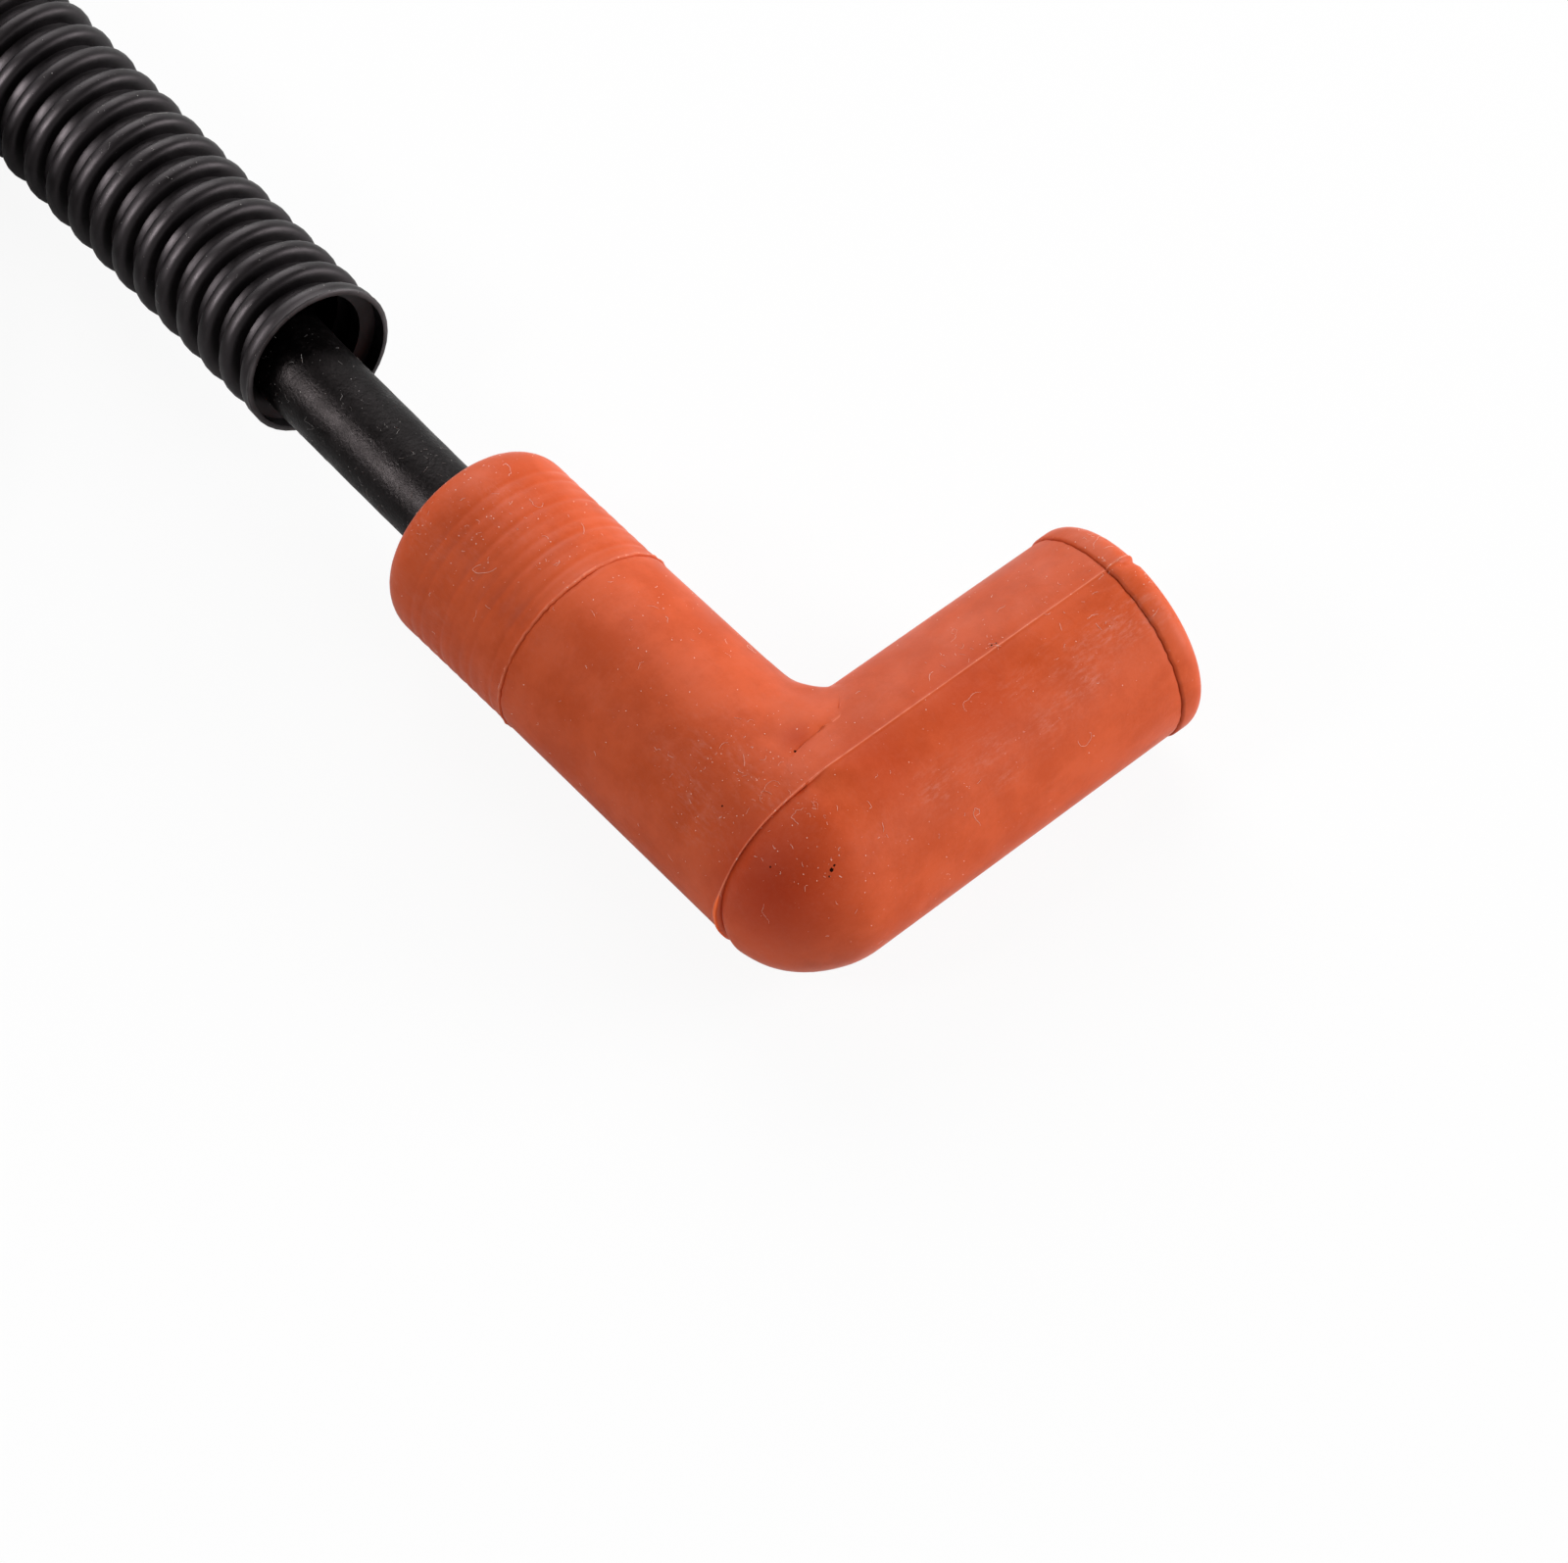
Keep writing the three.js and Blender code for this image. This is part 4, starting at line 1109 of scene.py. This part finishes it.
# Spots and normals of a fibre that wanders over a surface and bends sharply now and then.
def fibre_points(tree, centre, normal, generator, length, radius):
    tangent = normal.orthogonal().normalized()
    turn = generator.uniform(0, 2 * math.pi)
    heading = tangent * math.cos(turn) + normal.cross(tangent) * math.sin(turn)
    curl = generator.uniform(-1, 1) * 0.18
    steps = 9 if length < LONG_FIBRE else 26
    place = centre.copy()
    line = []
    for i in range(steps):
        spot, surface_normal, _, _ = tree.find_nearest(place)
        lift = radius * (0.9 + 1.2 * math.sin(math.pi * i / (steps - 1)))
        line.append((spot + surface_normal * lift, surface_normal.copy()))
        heading = (heading - surface_normal * heading.dot(surface_normal)).normalized()
        bend = curl + generator.gauss(0, 0.2)
        if generator.random() < 0.08:
            bend += generator.choice((-1, 1)) * generator.uniform(0.7, 1.5)
        heading = (heading * math.cos(bend) + surface_normal.cross(heading) * math.sin(bend)).normalized()
        place = spot + heading * (length / steps)
    return line


# A fibre's mesh is a thin prism of three sides.
def add_fibre(points, faces, line, radius):
    start = len(points)
    for i, (spot, normal) in enumerate(line):
        before = line[max(i - 1, 0)][0]
        after = line[min(i + 1, len(line) - 1)][0]
        along = (after - before).normalized()
        side = along.cross(normal).normalized()
        top = side.cross(along)
        thin = radius * (0.55 if i in (0, len(line) - 1) else 1.0)
        for angle in (math.pi / 2, math.pi * 7 / 6, math.pi * 11 / 6):
            points.append(spot + side * (thin * math.cos(angle)) + top * (thin * math.sin(angle)))
    faces += grid_faces(len(line), 3, start=start)
    last = start + 3 * (len(line) - 1)
    faces.append([start + 2, start + 1, start])
    faces.append([last, last + 1, last + 2])


def add_speck(points, faces, spot, normal, generator, size):
    start = len(points)
    tangent = normal.orthogonal().normalized()
    other = normal.cross(tangent)
    for level, width in ((-0.3, 0.9), (0.25, 0.75)):
        for angle in round_angles(SPECK_SIDES):
            out = size * width * generator.uniform(0.7, 1.15)
            points.append(spot + tangent * (out * math.cos(angle)) + other * (out * math.sin(angle))
                          + normal * (size * level))
    points.append(spot + normal * (size * 0.55))
    points.append(spot - normal * (size * 0.5))
    faces += grid_faces(2, SPECK_SIDES, start=start)
    for i in range(SPECK_SIDES):
        after = (i + 1) % SPECK_SIDES
        faces.append([start + SPECK_SIDES + i, start + SPECK_SIDES + after, start + 2 * SPECK_SIDES])
        faces.append([start + after, start + i, start + 2 * SPECK_SIDES + 1])


def surface_tree(obj):
    mesh = obj.data
    return BVHTree.FromPolygons([v.co for v in mesh.vertices], [tuple(p.vertices) for p in mesh.polygons])


# Scatters fibres and specks round a few places.
def scatter(name, carrier, clusters, material, seed):
    generator = random.Random(seed)
    tree = surface_tree(carrier)
    points = []
    faces = []
    for place, spread, fibres, specks in clusters:
        for i in range(fibres + specks):
            aim = Vector(at(*place)) + Vector([generator.gauss(0, spread * MM) for _ in range(3)])
            spot, normal, _, _ = tree.find_nearest(aim)
            if i < fibres:
                length = generator.uniform(*generator.choice(FIBRE_LENGTHS)) * MM
                radius = FIBRE_RADIUS * generator.uniform(0.7, 1.1)
                line = fibre_points(tree, spot, normal, generator, length, radius)
                add_fibre(points, faces, line, radius)
            else:
                size = generator.choice(SPECK_SIZES) * MM
                add_speck(points, faces, spot + normal * size * 0.2, normal, generator, size)
    obj = mesh_object(name, points, faces, material)
    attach(obj, "root")


# Build.

boot = elbow_boot()
plug = plug_boot()
loom = make_loom()
tie_parts = coil_tie()
elbow_core = make_core("elbow_core", cable_line[0], cable_line[1])
plug_core = make_core("plug_core", cable_line[-1], cable_line[-2])

for name in ("elbow_terminal", "plug_terminal"):
    for node_name, material in ((name, brass), (name + "_spring", steel)):
        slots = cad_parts[node_name].data.materials
        slots.clear()
        slots.append(material)

cable = make_cable()


# Floor, light and background.

FLOOR_HALF = 3.0
FLOOR_GLOW = 0.92 # share of plain white that the camera sees in the floor
WORLD_LIGHT = 0.27
CEILING_LIGHT = 0.20


def make_floor():
    mesh = bpy.data.meshes.new("floor")
    corners = [(x * FLOOR_HALF, y * FLOOR_HALF, 0) for x, y in ((-1, -1), (1, -1), (1, 1), (-1, 1))]
    mesh.from_pydata(corners, [], [(0, 1, 2, 3)])
    look = new_look("floor_white")
    nodes = look.nodes
    nodes.remove(look.shader)
    diffuse = nodes.new("ShaderNodeBsdfDiffuse")
    diffuse.inputs["Color"].default_value = (0.86, 0.86, 0.86, 1)
    glow = nodes.new("ShaderNodeEmission")
    glow.inputs["Color"].default_value = (1, 1, 1, 1)
    glow.inputs["Strength"].default_value = 1
    path = nodes.new("ShaderNodeLightPath")
    blend = nodes.new("ShaderNodeMixShader")
    look.put(blend.inputs["Fac"], look.math("MULTIPLY", path.outputs["Is Camera Ray"], FLOOR_GLOW))
    look.put(blend.inputs[1], diffuse.outputs["BSDF"])
    look.put(blend.inputs[2], glow.outputs["Emission"])
    look.put(nodes["Material Output"].inputs["Surface"], blend.outputs["Shader"])
    mesh.materials.append(look.owner)
    floor = bpy.data.objects.new("floor", mesh)
    bpy.context.scene.collection.objects.link(floor)


# White to the camera. Mirrored rays see it white near the floor and darker above.
def make_world():
    world = bpy.data.worlds.new("studio")
    bpy.context.scene.world = world
    look = Look(world)
    background = look.nodes["Background"]
    background.inputs["Color"].default_value = (1, 1, 1, 1)
    path = look.nodes.new("ShaderNodeLightPath").outputs
    source = look.nodes.new("ShaderNodeTexCoord")
    axes = look.nodes.new("ShaderNodeSeparateXYZ")
    look.put(axes.inputs["Vector"], source.outputs["Generated"])
    sky = look.ramp(axes.outputs["Z"], 0.30, 0.80, 1.0, CEILING_LIGHT)
    mirrored = look.math("MAXIMUM", path["Is Glossy Ray"], path["Is Transmission Ray"])
    extra = look.math("MULTIPLY", look.math("SUBTRACT", sky, WORLD_LIGHT), mirrored)
    strength = look.math("ADD", extra, WORLD_LIGHT)
    look.put(background.inputs["Strength"], look.math("MAXIMUM", strength, path["Is Camera Ray"]))


def area_light(name, place, size, power):
    data = bpy.data.lights.new(name, "AREA")
    data.shape = "DISK"
    data.size = size
    data.energy = power
    light = bpy.data.objects.new(name, data)
    light.location = place
    aim = CAMERA_TARGET - Vector(place)
    light.rotation_euler = aim.to_track_quat("-Z", "Y").to_euler()
    bpy.context.scene.collection.objects.link(light)
    return light


make_floor()
make_world()
area_light("back", (0.38, 0.73, 0.58), 0.9, 7.5)
area_light("right", (0.88, -0.64, 0.34), 0.8, 13.5)
area_light("left", (-0.66, 0.18, 0.64), 0.24, 1.9)

# A soft shine along the black cable and loom. The dusty silicone takes none.
shine = area_light("shine", (-0.74, 0.43, 0.54), 0.40, 13.5)
shine.visible_diffuse = False
shiny = bpy.data.collections.new("shiny")
for obj in (cable, loom):
    shiny.objects.link(obj)
shine.light_linking.receiver_collection = shiny

bpy.context.scene.view_settings.view_transform = "Standard"

# Places and spreads in mm, and numbers of fibres and specks, most of them where hands and bags rub.
BOOT_LINT = [
    ((-1.5, 4.5, 20), 2.6, 22, 55),
    ((-4.5, 5.5, 19), 4.5, 16, 110),
    ((-1.2, -1.2, 19.5), 0.9, 12, 16),
    ((-2, -6, 17), 4.5, 20, 60),
    ((20.8, 0.3, 20), 0.5, 5, 6),
    ((19.3, 2.0, 20), 1.1, 8, 8),
    ((33, 0.2, 20), 0.7, 6, 12),
    ((0, 20, 19.5), 9.0, 46, 170),
    ((-2, 37, 19.0), 5.0, 40, 150),
    ((20, 0, 20), 9.0, 40, 170),
    ((33, 0, 20), 4.0, 22, 70),
    ((5, -8, 14), 6.0, 14, 110),
]
CABLE_LINT = [((-2, 50, 13.5), 5.0, 50, 90), ((-2, 60, 13.5), 5.0, 60, 110)]
LOOM_LINT = [((1, 70 + 6 * i, 17), 5.0, 9, 26) for i in range(6)]
scatter("boot_lint", boot, BOOT_LINT, pale_lint, 21)
scatter("cable_lint", cable, CABLE_LINT, grey_lint, 22)
scatter("loom_lint", loom, LOOM_LINT, grey_lint, 23)

# Dark grit pressed into the boot: places and sizes in mm.
GRIT = [
    ((1.65, 3.13, 19.4), 0.26), ((-2.7, -6.2, 16.8), 0.30), ((-2.3, -6.1, 17.0), 0.19),
    ((-3.1, -6.4, 16.5), 0.17), ((-6.2, -2.8, 16.8), 0.17), ((-5.6, 3.9, 17.6), 0.15),
    ((20.6, 0.45, 20.0), 0.15), ((21.0, 0.35, 20.0), 0.12),
]


def make_grit():
    generator = random.Random(31)
    tree = surface_tree(boot)
    points = []
    faces = []
    for place, size in GRIT:
        spot, normal, _, _ = tree.find_nearest(Vector(at(*place)))
        add_speck(points, faces, spot - normal * size * 0.30 * MM, normal, generator, size * MM)
    grit = mesh_object("boot_grit", points, faces, dark_grit)
    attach(grit, "root")


make_grit()
